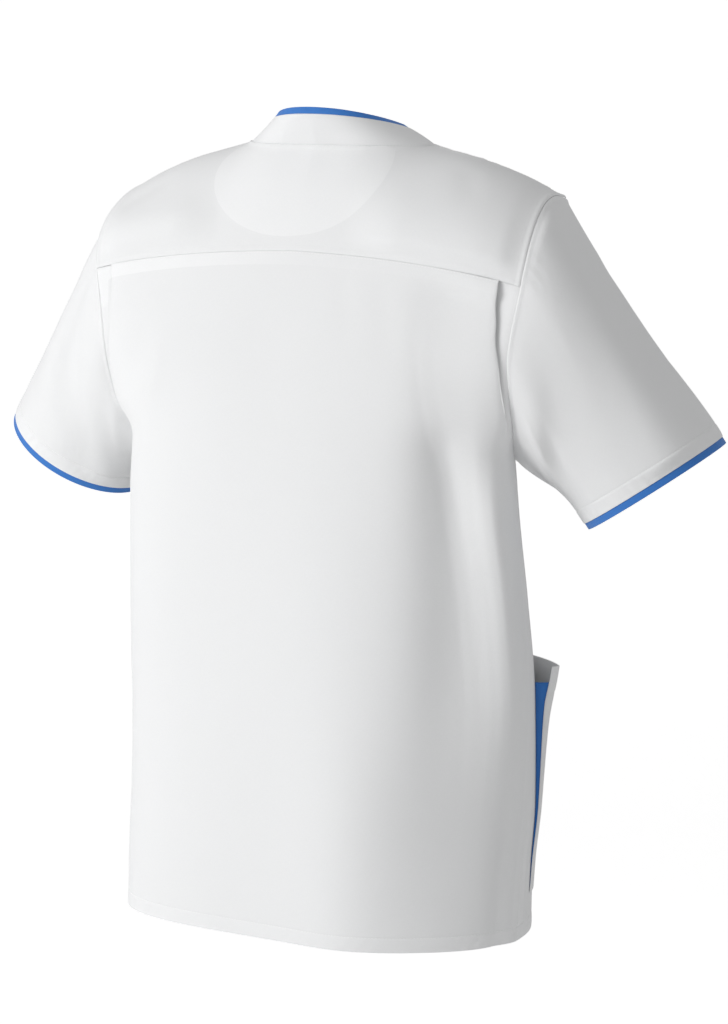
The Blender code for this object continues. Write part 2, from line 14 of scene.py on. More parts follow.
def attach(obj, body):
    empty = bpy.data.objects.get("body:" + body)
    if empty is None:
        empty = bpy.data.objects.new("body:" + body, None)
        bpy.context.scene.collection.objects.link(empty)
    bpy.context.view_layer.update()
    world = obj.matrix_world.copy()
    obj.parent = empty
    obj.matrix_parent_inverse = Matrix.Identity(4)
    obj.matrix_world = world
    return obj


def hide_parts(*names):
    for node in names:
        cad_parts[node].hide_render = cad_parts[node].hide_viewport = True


bl_info = {
    "name": "Scrub Top",
    "version": (1, 0, 0),
    "blender": (4, 5, 0),
    "location": "View3D > Sidebar > Scrub Top",
    "description": "Builds the cloth, seams and stitches of a scrub top on its frame",
    "category": "Add Mesh",
}

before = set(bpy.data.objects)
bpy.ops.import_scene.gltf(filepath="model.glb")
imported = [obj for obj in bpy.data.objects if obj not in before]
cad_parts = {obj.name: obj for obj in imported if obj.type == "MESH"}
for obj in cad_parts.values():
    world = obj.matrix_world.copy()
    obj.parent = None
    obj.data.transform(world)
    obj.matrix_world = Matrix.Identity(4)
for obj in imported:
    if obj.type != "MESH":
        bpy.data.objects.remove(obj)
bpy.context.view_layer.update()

MM = 0.001
BODY = "root"
MIRROR = np.array((-1.0, 1.0, 1.0))

# ---- sizes of the cut, in millimetres ------------------------------------------------

NECK_HALF = 97.0        # half width of the neck seam, at the shoulder seams
NECK_LEVEL = -2.3       # height of the neck seam across the nape
V_POINT = -250.0        # height of the lowest point of the V of the neck seam
V_BOW = 0.93            # 1 is a straight V, less bows it outwards
SHOULDER_HALF = 220.0   # half width over the shoulder seams
BAND_INNER_HALF = 68.0  # half width of the neckband's free edge
BAND_NAPE_Y = 54.0      # how far back that edge lies at the nape
BAND_NAPE_Z = 28.0      # and how high it stands there
BAND_SIDE_Z = 13.0      # and how high at the sides of the neck
BAND_V_POINT = -168.0   # height of the point of its V
BAND_V_BOW = 1.04       # how that V is bowed: 1 is straight
BAND_ROUNDNESS = 2.2    # how round the edge runs from the nape to the sides
TRIM = 7.0              # width of the contrast strips
HEM = 14.0              # depth of the hems, to their stitch line
ALLOWANCE = 13.0        # width of the seam allowances that show through
FACING_HALF = 96.0      # half width of the half-moon facing
FACING_DEPTH = 92.0     # its depth below the neck seam at centre back
FACING_SIDE = 30.0      # the length of its straight sides
FACING_TOP = 3.0        # its top edge lies this far below the neck seam
FACING_UNDER = 1.3      # how far it lies under the yoke's sheet
PATCH_ASIDE = 14.0      # it shows through the yoke as a patch, whose middle lies this far to the left
PATCH_RISE = 92.0       # and this far above the yoke seam
PATCH_HALF = 100.0      # half the patch's width
PATCH_DEPTH = 78.0      # and how far it reaches down from its middle
POCKET_GAPE = 23.0      # how far the pocket's top corner stands off
POCKET_HEM = 26.0       # depth of the pocket's top hem
GUSSET_STOP = 15.0      # the gusset ends this far below the pocket's top edge
POCKET_HIGH = 222.0     # height of the pockets
POCKET_FOLD = 7.0       # the pocket's outer edge folds back over the gusset by this much
OVER_MIDDLE = 0.6       # outer face of a panel, from the middle of its wall
SINGLE = 0.75           # thickness of a panel as drawn
HEM_MORE = 0.5          # and how much more where its hem lies double
POCKET_CLOTH = 0.9      # thickness of a pocket, which is hemmed all round
GUSSET_CLOTH = 0.6      # and of its gusset
FACING_CLOTH = 0.7      # and of the facing
BAND_CLOTH = 1.5        # and of the doubled neckband
TRIM_CLOTH = 1.1        # and of the contrast strips
RIM = 0.4               # radius of a panel's rolled rims
RIM_LEFT = 0.07         # thickness that is left at the very rim
EDGE_SEWN = 9.0         # width of the narrow allowances at armholes, sides and pocket edges
YOKE_SEWN = 5.0         # and along the yoke's own seam
NECK_SEWN = 8.0         # and along its neck seam
SLEEVE_SEWN = 4.0       # and round a sleeve's head and down its underarm
ALL_DOUBLE = 5.0        # margin of a piece that lies double all over
ALL_SINGLE = -5.0       # and of one that lies single
CLOSE_STITCH = 1.5      # how far a seam's stitches lie from its edge
TACK_COLUMNS = (6, -7)  # columns of the back panel with a bar tack at the hem
CUFF_ROUND = 470.0      # about the length round a cuff
POCKET_ON = 1.5         # from the middle of the front's wall to that of a pocket on it
GUSSET_ROOT = 1.1       # how far off the front's sheet the gusset starts
GUSSET_IN = 0.6         # how far inside the pocket's edge it runs
GUSSET_UNDER = 0.3      # how far under the pocket it ends
GUSSET_BULGE = 0.14     # how far its middle bows out, as a share of its width

# The back panel and the side seams: a row for each level, hem to yoke seam.
BACK_NAMES = ("up", "height", "depth", "side_x", "side_y", "side_z", "pull", "turn", "side_pull")
BACK_ROWS = (
    (0.00, -757, 132, 208, 28, -757, 0.74, 90, 0.72),
    (0.09, -690, 130, 209, 20, -690, 0.74, 90, 0.72),
    (0.18, -632, 128, 210, 8, -632, 0.74, 90, 0.72),
    (0.34, -525, 126, 210, 1, -525, 0.76, 90, 0.74),
    (0.48, -430, 126, 207, 8, -430, 0.78, 90, 0.76),
    (0.62, -345, 125, 204, 20, -345, 0.78, 88, 0.76),
    (0.72, -285, 121, 203, 28, -290, 0.78, 80, 0.78),
    (0.80, -235, 113, 215, 57, -255, 0.76, 60, 0.70),
    (0.90, -165, 98, 219, 76, -188, 0.66, 30, 0.50),
    (1.00, -100, 84, 229, 71, -126, 0.52, 16, 0.40),
)
UNDERARM = 0.72         # level where the side seam meets the armhole

# The front below the armholes shares the side seams; depth lies on centre front.
FRONT_NAMES = ("up", "depth", "pull", "turn", "side_pull")
FRONT_ROWS = (
    (0.00, -122, 0.62, 90, 0.62),
    (0.18, -120, 0.62, 86, 0.60),
    (0.34, -118, 0.60, 78, 0.54),
    (0.48, -114, 0.56, 72, 0.52),
    (0.62, -110, 0.52, 66, 0.50),
    (0.72, -106, 0.50, 62, 0.48),
)

# Line of the shoulder seams, carried on across the neck where it is cut away
SHOULDER_NAMES = ("x", "y", "z")
SHOULDER_ROWS = (
    (0, -22, 38),
    (40, -20, 30),
    (97, -14, -2),
    (150, -20, -17),
    (190, -34, -34),
    (220, -46, -52),
)

# The wearer's left cuff; the right one mirrors it
CUFF_CENTRE = np.array((316.0, -40.0, -313.0))
CUFF_AXIS = np.array((0.531, -0.146, -0.835))
CUFF_OUT = 77.0         # half width away from the body
CUFF_BACK = 73.0        # half width front to back

# How the sheets run between the seams
YOKE_TURN = 0.35        # how steeply the yoke meets the shoulder line: up in the middle, down at the sides
YOKE_TURN_AT = 0.45     # share of the shoulder where it lies level
YOKE_LEAVE = 1.25       # pull of the back's own slope on the yoke
YOKE_LEAVE_MIDDLE = 0.25    # and more of it in the middle
YOKE_ARRIVE = 1.1
SCOOP_FROM = 0.72       # the front's armhole is scooped out from this share of its width
SCOOP_WAY = np.array((-0.55, -0.80, 0.25))
SCOOP_SLACK = 0.15
CHEST_OUT = 0.12        # the chest leans out towards the shoulder's end
CHEST_ARRIVE = (0.62, 0.75)
SLEEVE_OVER_WAY = np.array((0.52, 0, -0.85))
SLEEVE_UNDER_WAY = np.array((0.66, 0, -0.75))
SLEEVE_SIDE_WAY = np.array((0.78, 0.02, -0.62))
SLEEVE_LEAVE = 0.85
SLEEVE_ARRIVE = 0.9

# Pocket: levels and places on the front panel's own sheet, as in the frame
POCKET_UP = (0.052, 0.378)
POCKET_NEAR = 4 / 7     # share of the neck's columns at its inner edge
POCKET_FAR = 0.86       # and the place of its outer edge between neck and side
SHOULDER_FROM = 0.2     # the neck's own place on that scale
GAPE_NAMES = ("rise", "share")
GAPE_ROWS = ((0.0, 0.0), (0.2, 0.10), (0.5, 0.28), (0.75, 0.50), (1.0, 1.0))

# Action pleat. How a flat distance in from the armhole lies when folded: away from the armhole,
# and over the panel, near the yoke seam, lower down, and where its edge hangs over the armhole.
# The last column is the fullness that it lets out below, beside the side seam.
FOLD_NAMES = ("flat", "away_top", "over_top", "away_mid", "over_mid", "away_low", "over_low",
              "over_side")
FOLD_ROWS = (
    (0, 0, 0.0, 0, 0.0, 0, 0.0, 0.0),
    (4, 5, -1.2, 4, -0.8, 0.2, 2.0, 6.2),
    (9, 12, -3.4, 8, -1.8, -0.4, 5.4, 12.4),
    (14, 20, -4.6, 13, -2.6, -1.0, 8.4, 16.6),
    (18, 25.0, -4.4, 16.6, -2.0, -1.4, 10.6, 18.8),
    (22, 25.6, -1.8, 17.2, 0.6, -1.4, 12.4, 20.1),
    (26, 22.2, 1.4, 14.2, 3.8, -0.6, 14.0, 20.6),
    (30, 20.6, 2.8, 12.4, 6.0, 2.0, 15.0, 20.6),
    (36, 25.0, 4.0, 18.0, 7.6, 11.0, 16.4, 19.6),
    (46, 38.0, 3.4, 34.0, 6.6, 30.0, 15.0, 15.4),
    (60, 57.0, 1.8, 55.5, 4.0, 54.0, 10.0, 8.2),
    (76, 76.0, 0.4, 76.0, 1.4, 76.0, 3.6, 2.2),
    (90, 90.0, 0.0, 90.0, 0.0, 90.0, 0.0, 0.0),
)
FOLD_REACH = 90.0

# Share of each of those four forms at a level of the back, and the fold's height on each side
PLEAT_NAMES = ("up", "top", "mid", "low", "side", "right", "left")
PLEAT_ROWS = (
    (0.00, 0, 0, 0, 1, 0.18, 0.00),
    (0.16, 0, 0, 0, 1, 0.30, 0.00),
    (0.24, 0, 0, 0, 1, 0.50, 0.00),
    (0.32, 0, 0, 0, 1, 0.82, 0.00),
    (0.40, 0, 0, 0, 1, 1.10, 0.02),
    (0.50, 0, 0, 0, 1, 1.28, 0.02),
    (0.60, 0, 0, 0, 1, 1.32, 0.02),
    (0.67, 0, 0, 0.15, 0.85, 1.28, 0.04),
    (0.73, 0, 0, 0.5, 0.5, 1.20, 0.06),
    (0.80, 0, 0.28, 0.68, 0.04, 1.10, 0.10),
    (0.87, 0, 0.66, 0.34, 0, 1.04, 0.16),
    (0.93, 0.35, 0.65, 0, 0, 1.08, 0.34),
    (0.975, 1, 0, 0, 0, 1.10, 0.50),
    (1.00, 1, 0, 0, 0, 0.35, 0.35),
)
PLEAT_FORMS = ("top", "mid", "low", "side")
FOLD_WAY = np.array((-0.469, 0.883, 0.0))   # the way in which the fold stands off, on the right

# ---- how finely the cloth is drawn ---------------------------------------------------

SEAM_STEPS = (0.0, 0.1, 0.25, 0.45, 0.8, 1.5, 2.6, 4.2, 6.5)
HEM_STEPS = (0.0, 0.1, 0.25, 0.45, 0.8, 1.7, 3.2, 5.2, 7.4, 9.6, 11.6, 12.8, 13.4, 14.0, 14.6, 15.2,
             16.2, 17.8, 20.0)
PLEAT_STEPS = SEAM_STEPS + tuple(np.arange(7.7, 34, 1.25))
POCKET_STEPS = (0.0, 0.5, 1.2, 2.6)
POCKET_TURN = np.array((0.12, 0.3, 0.5, 0.7, 0.85, 0.95, 1.0))  # shares of the fold at the pocket's edge
STRIP_STEPS = (0, 0.015, 0.04, 0.08, 0.16, 0.3, 0.5, 0.7, 0.84, 0.92, 0.96, 0.985, 1)
BAND_STEPS = (0, 0.004, 0.01, 0.02, 0.04, 0.08, 0.14, 0.22, 0.3, 0.4, 0.5, 0.6, 0.7, 0.78, 0.86, 0.92,
              0.96, 0.98, 0.99, 0.996, 1)
SMALL = 1e-3            # step on a sheet over which its slopes are measured

# Seeds of the uneven waves along each hem and seam
WAVES = {
    "back hem": 11, "back top": 21, "back side": 31,
    "yoke armhole": 41, "yoke seam": 51, "yoke neck": 61,
    "front hem": 71, "front top": 81, "front side": 91,
    "sleeve hem": 101, "sleeve head": 111,
}

# ---- creases -------------------------------------------------------------------------
# across and level of both ends on the piece in hand, bow to one side, width, depth
# (ridges below 0), all in millimetres
CREASE_NAMES = ("across_0", "level_0", "across_1", "level_1", "bow", "width", "depth")
BACK_CREASES = (
    (-176, -60, -150, -760, 0, 33, 6.0),
    (-178, -150, -154, -640, 0, 31, 5.2),
    (-176, -40, -178, -430, 0, 34, 5.0),
    (-186, -520, -190, -1000, 0, 64, 11.0),
    (-60, -240, -50, -980, 0, 75, -8.0),
    (-78, -430, -74, -1150, 0, 48, -7.0),
    (60, -330, 85, -640, -10, 40, 1.2),
    (20, -120, 26, -330, 5, 34, 0.9),
    (-95, -110, -102, -220, 4, 14, 0.7),
    (-60, -108, -64, -190, -3, 10, 0.5),
    (150, -150, 176, -330, -6, 12, 1.3),
    (138, -180, 150, -300, 4, 7, -0.6),
)

# On the yoke, level runs up from the yoke seam
YOKE_CREASES = (
    (90, 34, 262, 26, 0, 25, -7.0),
    (-50, 26, -262, 30, 0, 42, -9.0),
    (160, 96, 236, 58, 4, 13, 1.6),
    (-150, 118, -170, 60, 4, 12, 0.9),
)

# On a sleeve, across runs round it from the underarm up its back, and level from the armhole down
SLEEVE_LEFT_CREASES = (
    (195, -60, 185, 175, 0, 46, 12.0),
    (130, 60, 96, 240, 0, 30, 1.6),
    (60, 90, 84, 230, 6, 22, -1.4),
    (250, 60, 300, 180, 10, 22, 1.6),
    (330, 50, 380, 150, -8, 16, 1.6),
    (430, 40, 400, 130, 6, 14, 1.8),
)
SLEEVE_RIGHT_CREASES = (
    (74, 10, 68, 120, 0, 13, -2.4),
    (100, 30, 92, 250, 0, 12, 1.4),
    (0, 60, 150, 50, 0, 26, -3.6),
    (372, 110, 366, 330, 0, 3.5, -1.0),
    (361, 120, 355, 330, 0, 3.0, 0.6),
    (196, 4, 200, 30, 0, 3.0, 0.5),
    (206, 4, 212, 34, 0, 3.5, 0.6),
    (217, 4, 226, 26, 0, 3.0, 0.5),
    (252, -140, 252, 420, 0, 38, -6.5),
    (340, 60, 370, 160, 8, 16, 1.8),
    (440, 50, 410, 140, -6, 14, 1.8),
)

SLEEVE_CREASES = {"left": SLEEVE_LEFT_CREASES, "right": SLEEVE_RIGHT_CREASES}

# ---- the studio ----------------------------------------------------------------------
# turn from the camera towards its right, and rise, in degrees; watts
LIGHTS = (
    ("key light", -60, 15, 46.0),
    ("side light", -75, 15, 6.0),
)
GARMENT_MIDDLE = Vector((0, 0, -0.36))
FLOOR_HALF = 14.0       # the floor's half width, and how far it comes forward, in metres
FLOOR_BACK = 3.5        # how far behind the garment it starts to curve up
FLOOR_CURVE = 1.6       # radius of that curve
WALL_HEIGHT = 6.0
FLOOR_LONG = FLOOR_HALF + FLOOR_BACK + 1.57 * FLOOR_CURVE + WALL_HEIGHT     # front edge to top edge
SENSOR_WIDTH = 36.0     # of the camera, in millimetres

# ---- curves --------------------------------------------------------------------------

def column(rows, names, name, at):
    """One named column of a table, read smoothly and without overshoot at a first-column value."""
    x = np.array([row[0] for row in rows], float)
    y = np.array([row[names.index(name)] for row in rows], float)
    step = np.diff(x)
    slope = np.diff(y) / step
    tangent = np.concatenate(([slope[0]], np.zeros(len(x) - 2), [slope[-1]]))
    for i in range(1, len(x) - 1):
        if slope[i - 1] * slope[i] > 0:
            before = 2 * step[i] + step[i - 1]
            after = step[i] + 2 * step[i - 1]
            tangent[i] = (before + after) / (before / slope[i - 1] + after / slope[i])
    at = np.clip(np.asarray(at, float), x[0], x[-1])
    i = np.clip(np.searchsorted(x, at, side="right") - 1, 0, len(x) - 2)
    t = (at - x[i]) / step[i]
    return ((1 + 2 * t) * (1 - t) ** 2 * y[i] + t * (1 - t) ** 2 * step[i] * tangent[i]
            + t * t * (3 - 2 * t) * y[i + 1] - t * t * (1 - t) * step[i] * tangent[i + 1])


def points(x, y, z):
    """Points from coordinates of like shapes."""
    x, y, z = np.broadcast_arrays(np.asarray(x, float), y, z)
    return np.stack([x, y, z], -1)


def length(vectors):
    """Length of each vector, with its last axis kept."""
    return np.linalg.norm(vectors, axis=-1, keepdims=True)


def unit(vectors):
    """The same ways, one long."""
    return vectors / np.maximum(length(vectors), 1e-12)


def ease(t):
    """0 below 0, 1 above 1, and smooth between."""
    t = np.clip(t, 0, 1)
    return t * t * (3 - 2 * t)


def bow(t, start, start_pull, end_pull, end):
    """Curve from start to end, drawn towards two points between them."""
    t = np.asarray(t)[..., None]
    return ((1 - t) ** 3 * start + 3 * t * (1 - t) ** 2 * start_pull
            + 3 * t * t * (1 - t) * end_pull + t ** 3 * end)


def run(t, start, end, leave, arrive):
    """Curve from start to end that leaves and arrives along two vectors."""
    t = np.asarray(t)[..., None]
    return ((1 + 2 * t) * (1 - t) ** 2 * start + t * (1 - t) ** 2 * leave
            + t * t * (3 - 2 * t) * end - t * t * (1 - t) * arrive)


def solve(rising, shape, steps=40):
    """Value from 0 to 1 at which a rising function crosses zero, by halving."""
    low, high = np.zeros(shape), np.ones(shape)
    for _ in range(steps):
        middle = (low + high) / 2
        below = rising(middle) < 0
        low = np.where(below, middle, low)
        high = np.where(below, high, middle)
    return (low + high) / 2


def both_sides(sheet, across):
    """Mirror the points of one half where across is negative."""
    return sheet * np.where(np.asarray(across)[..., None] < 0, (-1, 1, 1), (1, 1, 1))


def walked(line, axis=0):
    """Distance along rows of points, from 0."""
    steps = np.linalg.norm(np.diff(line, axis=axis), axis=-1)
    start = np.zeros_like(np.take(steps, [0], axis=axis))
    return np.concatenate([start, np.cumsum(steps, axis=axis)], axis=axis)


# ---- sheets of cloth -----------------------------------------------------------------

def back_sheet(up, across):
    """The back panel: up from hem 0 to yoke seam 1, across from the centre, 0, to the side, 1 or -1."""
    up, across = np.broadcast_arrays(np.asarray(up, float), np.asarray(across, float))
    z, y, side_x, side_y, side_z, pull, turn, side_pull = (
        column(BACK_ROWS, BACK_NAMES, name, up) for name in BACK_NAMES[1:])
    angle = np.radians(turn)
    reach = side_pull * np.hypot(y - side_y, 0.35 * side_x * np.cos(angle))
    centre = points(0, y, z)
    centre_pull = points(pull * side_x, y, z + 0.1 * (side_z - z))
    edge_pull = points(side_x - reach * np.cos(angle), side_y + reach * np.sin(angle),
                       side_z + 0.35 * (z - side_z))
    edge = points(side_x, side_y, side_z)
    return both_sides(bow(np.abs(across), centre, centre_pull, edge_pull, edge), across)


def front_low_sheet(up, across):
    """The front below the underarms, on the back's levels."""
    up, across = np.broadcast_arrays(np.asarray(up, float), np.asarray(across, float))
    side_x, side_y, side_z = (column(BACK_ROWS, BACK_NAMES, name, up)
                              for name in ("side_x", "side_y", "side_z"))
    y, pull, turn, side_pull = (column(FRONT_ROWS, FRONT_NAMES, name, up) for name in FRONT_NAMES[1:])
    angle = np.radians(turn)
    reach = side_pull * (side_y - y)
    centre = points(0, y, side_z)
    centre_pull = points(pull * side_x, y, side_z)
    edge_pull = points(side_x - reach * np.cos(angle), side_y - reach * np.sin(angle), side_z)
    edge = points(side_x, side_y, side_z)
    return both_sides(bow(np.abs(across), centre, centre_pull, edge_pull, edge), across)


def shoulder_line(x):
    """Points of the shoulder seams at places x from the centre."""
    return points(x, column(SHOULDER_ROWS, SHOULDER_NAMES, "y", x),
                  column(SHOULDER_ROWS, SHOULDER_NAMES, "z", x))


def upward(sheet, up, across):
    """The way in which a sheet runs on upwards."""
    return unit(sheet(up, across) - sheet(up - SMALL, across))


def yoke_reach(across):
    """Where a column of the yoke meets the shoulder line, as a distance from the centre."""
    return SHOULDER_HALF * back_sheet(1.0, across)[..., 0] / BACK_ROWS[-1][3]


def yoke_sheet(up, across):
    """The back of the shoulders, from the yoke seam over to the line of the shoulder seams."""
    up, across = np.broadcast_arrays(np.asarray(up, float), np.asarray(across, float))
    half = np.abs(across)
    start = back_sheet(1.0, half)
    end = shoulder_line(yoke_reach(half))
    share = end[..., 0] / SHOULDER_HALF
    span = length(end - start)
    up_share, down_share = ease(share / YOKE_TURN_AT), ease((share - YOKE_TURN_AT) / (1 - YOKE_TURN_AT))
    rise = YOKE_TURN * (1 - up_share - down_share)
    pull = YOKE_LEAVE + YOKE_LEAVE_MIDDLE * (1 - ease(2 * share))
    leave = upward(back_sheet, 1.0, half) * span * pull[..., None]
    arrive = unit(points(0, -1, rise)) * span * YOKE_ARRIVE
    return both_sides(run(up, start, end, leave, arrive), across)


def chest_reach(across):
    """Where a column of the front meets the shoulder line."""
    return SHOULDER_HALF * front_low_sheet(UNDERARM, across)[..., 0] / BACK_ROWS[6][3]


def chest_sheet(up, across):
    """The front above the underarm level, up to the line of the shoulder seams."""
    up, across = np.broadcast_arrays(np.asarray(up, float), np.asarray(across, float))
    half = np.abs(across)
    start = front_low_sheet(UNDERARM, half)
    end = shoulder_line(chest_reach(half))
    span = length(end - start)
    scoop = ease((half - SCOOP_FROM) / (1 - SCOOP_FROM))[..., None]
    leave = unit(upward(front_low_sheet, UNDERARM, half) * (1 - scoop) + unit(SCOOP_WAY) * scoop)
    arrive = unit(points(CHEST_OUT * end[..., 0] / SHOULDER_HALF, *CHEST_ARRIVE))
    return both_sides(run(up, start, end, leave * span * (1 - SCOOP_SLACK * scoop), arrive * span), across)


def front_sheet(up, across):
    """The whole front: up to 1 below the underarm level, and from 1 to 2 above it."""
    up, across = np.broadcast_arrays(np.asarray(up, float), np.asarray(across, float))
    low = front_low_sheet(np.clip(up, 0, 1) * UNDERARM, across)
    high = chest_sheet(np.clip(up - 1, 0, 1), across)
    return np.where((up < 1)[..., None], low, high)


def neck_cut_back(across):
    """How far up each column of the yoke reaches: to the neck seam, or the shoulder seam."""
    half = np.abs(np.asarray(across, float))
    level = solve(lambda up: yoke_sheet(up, half)[..., 2] - NECK_LEVEL, half.shape)
    return np.where(yoke_reach(half) < NECK_HALF - 0.01, level, 1.0)


def neck_cut_front(across):
    """How far up each column of the front reaches: to the V of the neck, or the shoulder seam."""
    half = np.abs(np.asarray(across, float))
    top = column(SHOULDER_ROWS, SHOULDER_NAMES, "z", NECK_HALF)

    def above_cut(up):
        sheet = chest_sheet(up, half)
        out = np.clip(sheet[..., 0] / NECK_HALF, 0, 1)
        return sheet[..., 2] - (V_POINT + (top - V_POINT) * out ** V_BOW)

    return np.where(chest_reach(half) < NECK_HALF - 0.01, solve(above_cut, half.shape), 1.0)


def neck_end(reach):
    """The column that ends where the shoulder seam meets the neck seam."""
    return float(solve(lambda across: reach(across) - NECK_HALF, ()))


def armhole_ring(count=240):
    """Ring of points around the left armhole: underarm, up the back, over, down the front."""
    share = np.linspace(0, 1, count)
    back = back_sheet(UNDERARM + (1 - UNDERARM) * share, 1.0)
    over = yoke_sheet(share, 1.0)
    front = chest_sheet(share[::-1], 1.0)
    ring = np.concatenate([back[:-1], over[:-1], front])
    top = walked(ring)[len(back) + len(over) - 2]
    return ring, top


ARMHOLE, ARMHOLE_TOP = armhole_ring()
ARMHOLE_WALK = walked(ARMHOLE)


def sleeve_sheet(down, around):
    """The left sleeve: down from armhole 0 to cuff 1, around from the underarm, 0 to 1."""
    down, around = np.broadcast_arrays(np.asarray(down, float), np.asarray(around, float))
    place = around * ARMHOLE_WALK[-1]
    start = np.stack([np.interp(place, ARMHOLE_WALK, ARMHOLE[:, axis]) for axis in range(3)], -1)
    share = np.where(place < ARMHOLE_TOP, place / ARMHOLE_TOP,
                     1 + (place - ARMHOLE_TOP) / (ARMHOLE_WALK[-1] - ARMHOLE_TOP))
    angle = np.pi * (1 - share)
    axis = unit(CUFF_AXIS)
    back = unit(np.array((0.0, 1.0, 0.0)) - axis * axis[1])
    out = np.cross(axis, back)
    out = out * np.sign(out[0])
    cuff = (CUFF_CENTRE + CUFF_OUT * np.cos(angle)[..., None] * out
            + CUFF_BACK * np.sin(angle)[..., None] * back)
    span = length(cuff - start)
    over = np.clip(np.cos(angle), 0, 1)[..., None]
    under = np.clip(-np.cos(angle), 0, 1)[..., None]
    leave = unit(SLEEVE_OVER_WAY * over + SLEEVE_UNDER_WAY * under + SLEEVE_SIDE_WAY * (1 - over - under))
    grid = run(np.clip(down, 0, 1), start, cuff, leave * span * SLEEVE_LEAVE, axis * span * SLEEVE_ARRIVE)
    return grid + axis * (np.clip(down - 1, 0, None) * span[..., 0])[..., None]


def chest_depth(x, z):
    """How far forward the front lies at a given place, also where the neck is cut away."""
    across = solve(lambda columns: chest_reach(columns) - np.abs(x), x.shape)
    up = solve(lambda rows: chest_sheet(rows, across)[..., 2] - z, x.shape)
    return chest_sheet(up, across)[..., 1]


def neck_seam(pitch):
    """The neck seam as a closed loop: across the nape from right to left, then round the V."""
    nape_end, chest_end = neck_end(yoke_reach), neck_end(chest_reach)
    nape = np.sin(np.linspace(-1, 1, 181) * np.pi / 2) * nape_end
    back = yoke_sheet(neck_cut_back(nape), nape)
    back[[0, -1]] = yoke_sheet(1.0, nape[[0, -1]])
    chest = np.linspace(1, -1, 241) * chest_end
    front = chest_sheet(neck_cut_front(chest), chest)
    front[[0, -1]] = back[[-1, 0]]
    loops = []
    for line in (back, front[:121], front[120:]):
        far = walked(line)
        count = int(round(far[-1] / pitch))
        at = np.linspace(0, far[-1], count + 1)
        loops.append(np.stack([np.interp(at, far, line[:, axis]) for axis in range(3)], -1))
    nape_count = len(loops[0])
    return np.concatenate([loops[0], loops[1][1:], loops[2][1:]]), nape_count


def band_edge(loop, nape_count):
    """The neckband's free edge, point for point with the neck seam."""
    share = np.clip(np.abs(loop[:, 0]) / NECK_HALF, 0, 1)
    x = loop[:, 0] * BAND_INNER_HALF / NECK_HALF
    front_z = BAND_SIDE_Z - (BAND_SIDE_Z - BAND_V_POINT) * (1 - share) ** BAND_V_BOW
    front_y = chest_depth(x, front_z)
    side_y = chest_depth(np.array([BAND_INNER_HALF]), np.array([BAND_SIDE_Z]))[0]
    round_back = np.sqrt(np.clip(1 - share ** BAND_ROUNDNESS, 0, 1))
    back_y = BAND_NAPE_Y * round_back + side_y * (1 - round_back)
    back_z = BAND_SIDE_Z + (BAND_NAPE_Z - BAND_SIDE_Z) * round_back
    nape = np.arange(len(loop)) < nape_count
    return points(x, np.where(nape, back_y, front_y), np.where(nape, back_z, front_z))


# ---- fine grids ----------------------------------------------------------------------

def spread(total, start, end, pitch):
    """Places from 0 to total: close steps at both ends, and even ones between, as rows."""
    total = np.atleast_1d(np.asarray(total, float))
    start, end = np.array(start), np.array(end)
    count = max(2, int(round((total.max() - start[-1] - end[-1]) / pitch)))
    between = np.linspace(0, 1, count + 1)[1:-1, None]
    first, last = start[-1], total - end[-1]
    return np.concatenate([
        np.repeat(start[:, None], len(total), axis=1),
        first + between * (last - first),
        total - end[::-1, None],
    ])


def fine_rows(sheet, across, low, high, start, end, pitch, dense=241):
    """Levels of a sheet at wanted distances from both ends of each column."""
    levels = low + (high - low) * np.linspace(0, 1, dense)[:, None] + 0 * across
    far = walked(sheet(levels, across))
    wanted = spread(far[-1], start, end, pitch)
    rows = np.stack([np.interp(wanted[:, j], far[:, j], levels[:, j]) for j in range(len(across))], 1)
    return rows, wanted, far[-1]


def fine_columns(sheet, level, end, pitch, limit=1.0, dense=241):
    """Places across a sheet, both sides of its centre, at wanted distances from its edges."""
    across = np.linspace(0, limit, dense)
    far = walked(sheet(level, across))
    half = far[-1]
    wanted = spread(half, (0.0,), end, pitch)[:, 0]
    places = np.interp(wanted, far, across)
    return np.concatenate([-places[:0:-1], places]), np.concatenate([-wanted[:0:-1], wanted]), half


def outward(grid, side, closed=False):
    """Unit vectors square to a sheet. side is 1 or -1, so that they point out of the garment."""
    if closed:
        ring = np.concatenate([grid[:, -2:-1], grid, grid[:, 1:2]], axis=1)
        along = ring[:, 2:] - ring[:, :-2]
    else:
        along = np.gradient(grid, axis=1)
    return unit(np.cross(np.gradient(grid, axis=0), along)) * side


# ---- relief: rims, hems, seams, ripples and creases -----------------------------------

def rolled(distance, radius):
    """How far a rim has turned in at a distance from its edge."""
    near = np.clip(distance / radius, 0, 1)
    return radius * (1 - np.sqrt(np.clip(1 - (1 - near) ** 2, 0, 1)))


def bump(distance, centre, width, height):
    """A soft ridge along a line, or a groove if its height is below 0."""
    return height * np.exp(-((distance - centre) / width) ** 2)


def ripple(along, seed, pitch, waves=5):
    """Uneven waves along a seam, about 1 high, from a few sines of fixed phases."""
    phases = np.random.default_rng(seed)
    total = 0
    for _ in range(waves):
        wave = pitch * phases.uniform(0.7, 1.8)
        total = total + np.sin(2 * np.pi * along / wave + phases.uniform(0, 2 * np.pi))
    swell = 0.55 + 0.45 * np.sin(2 * np.pi * along / (pitch * 9) + phases.uniform(0, 2 * np.pi))
    return total / waves ** 0.5 * swell


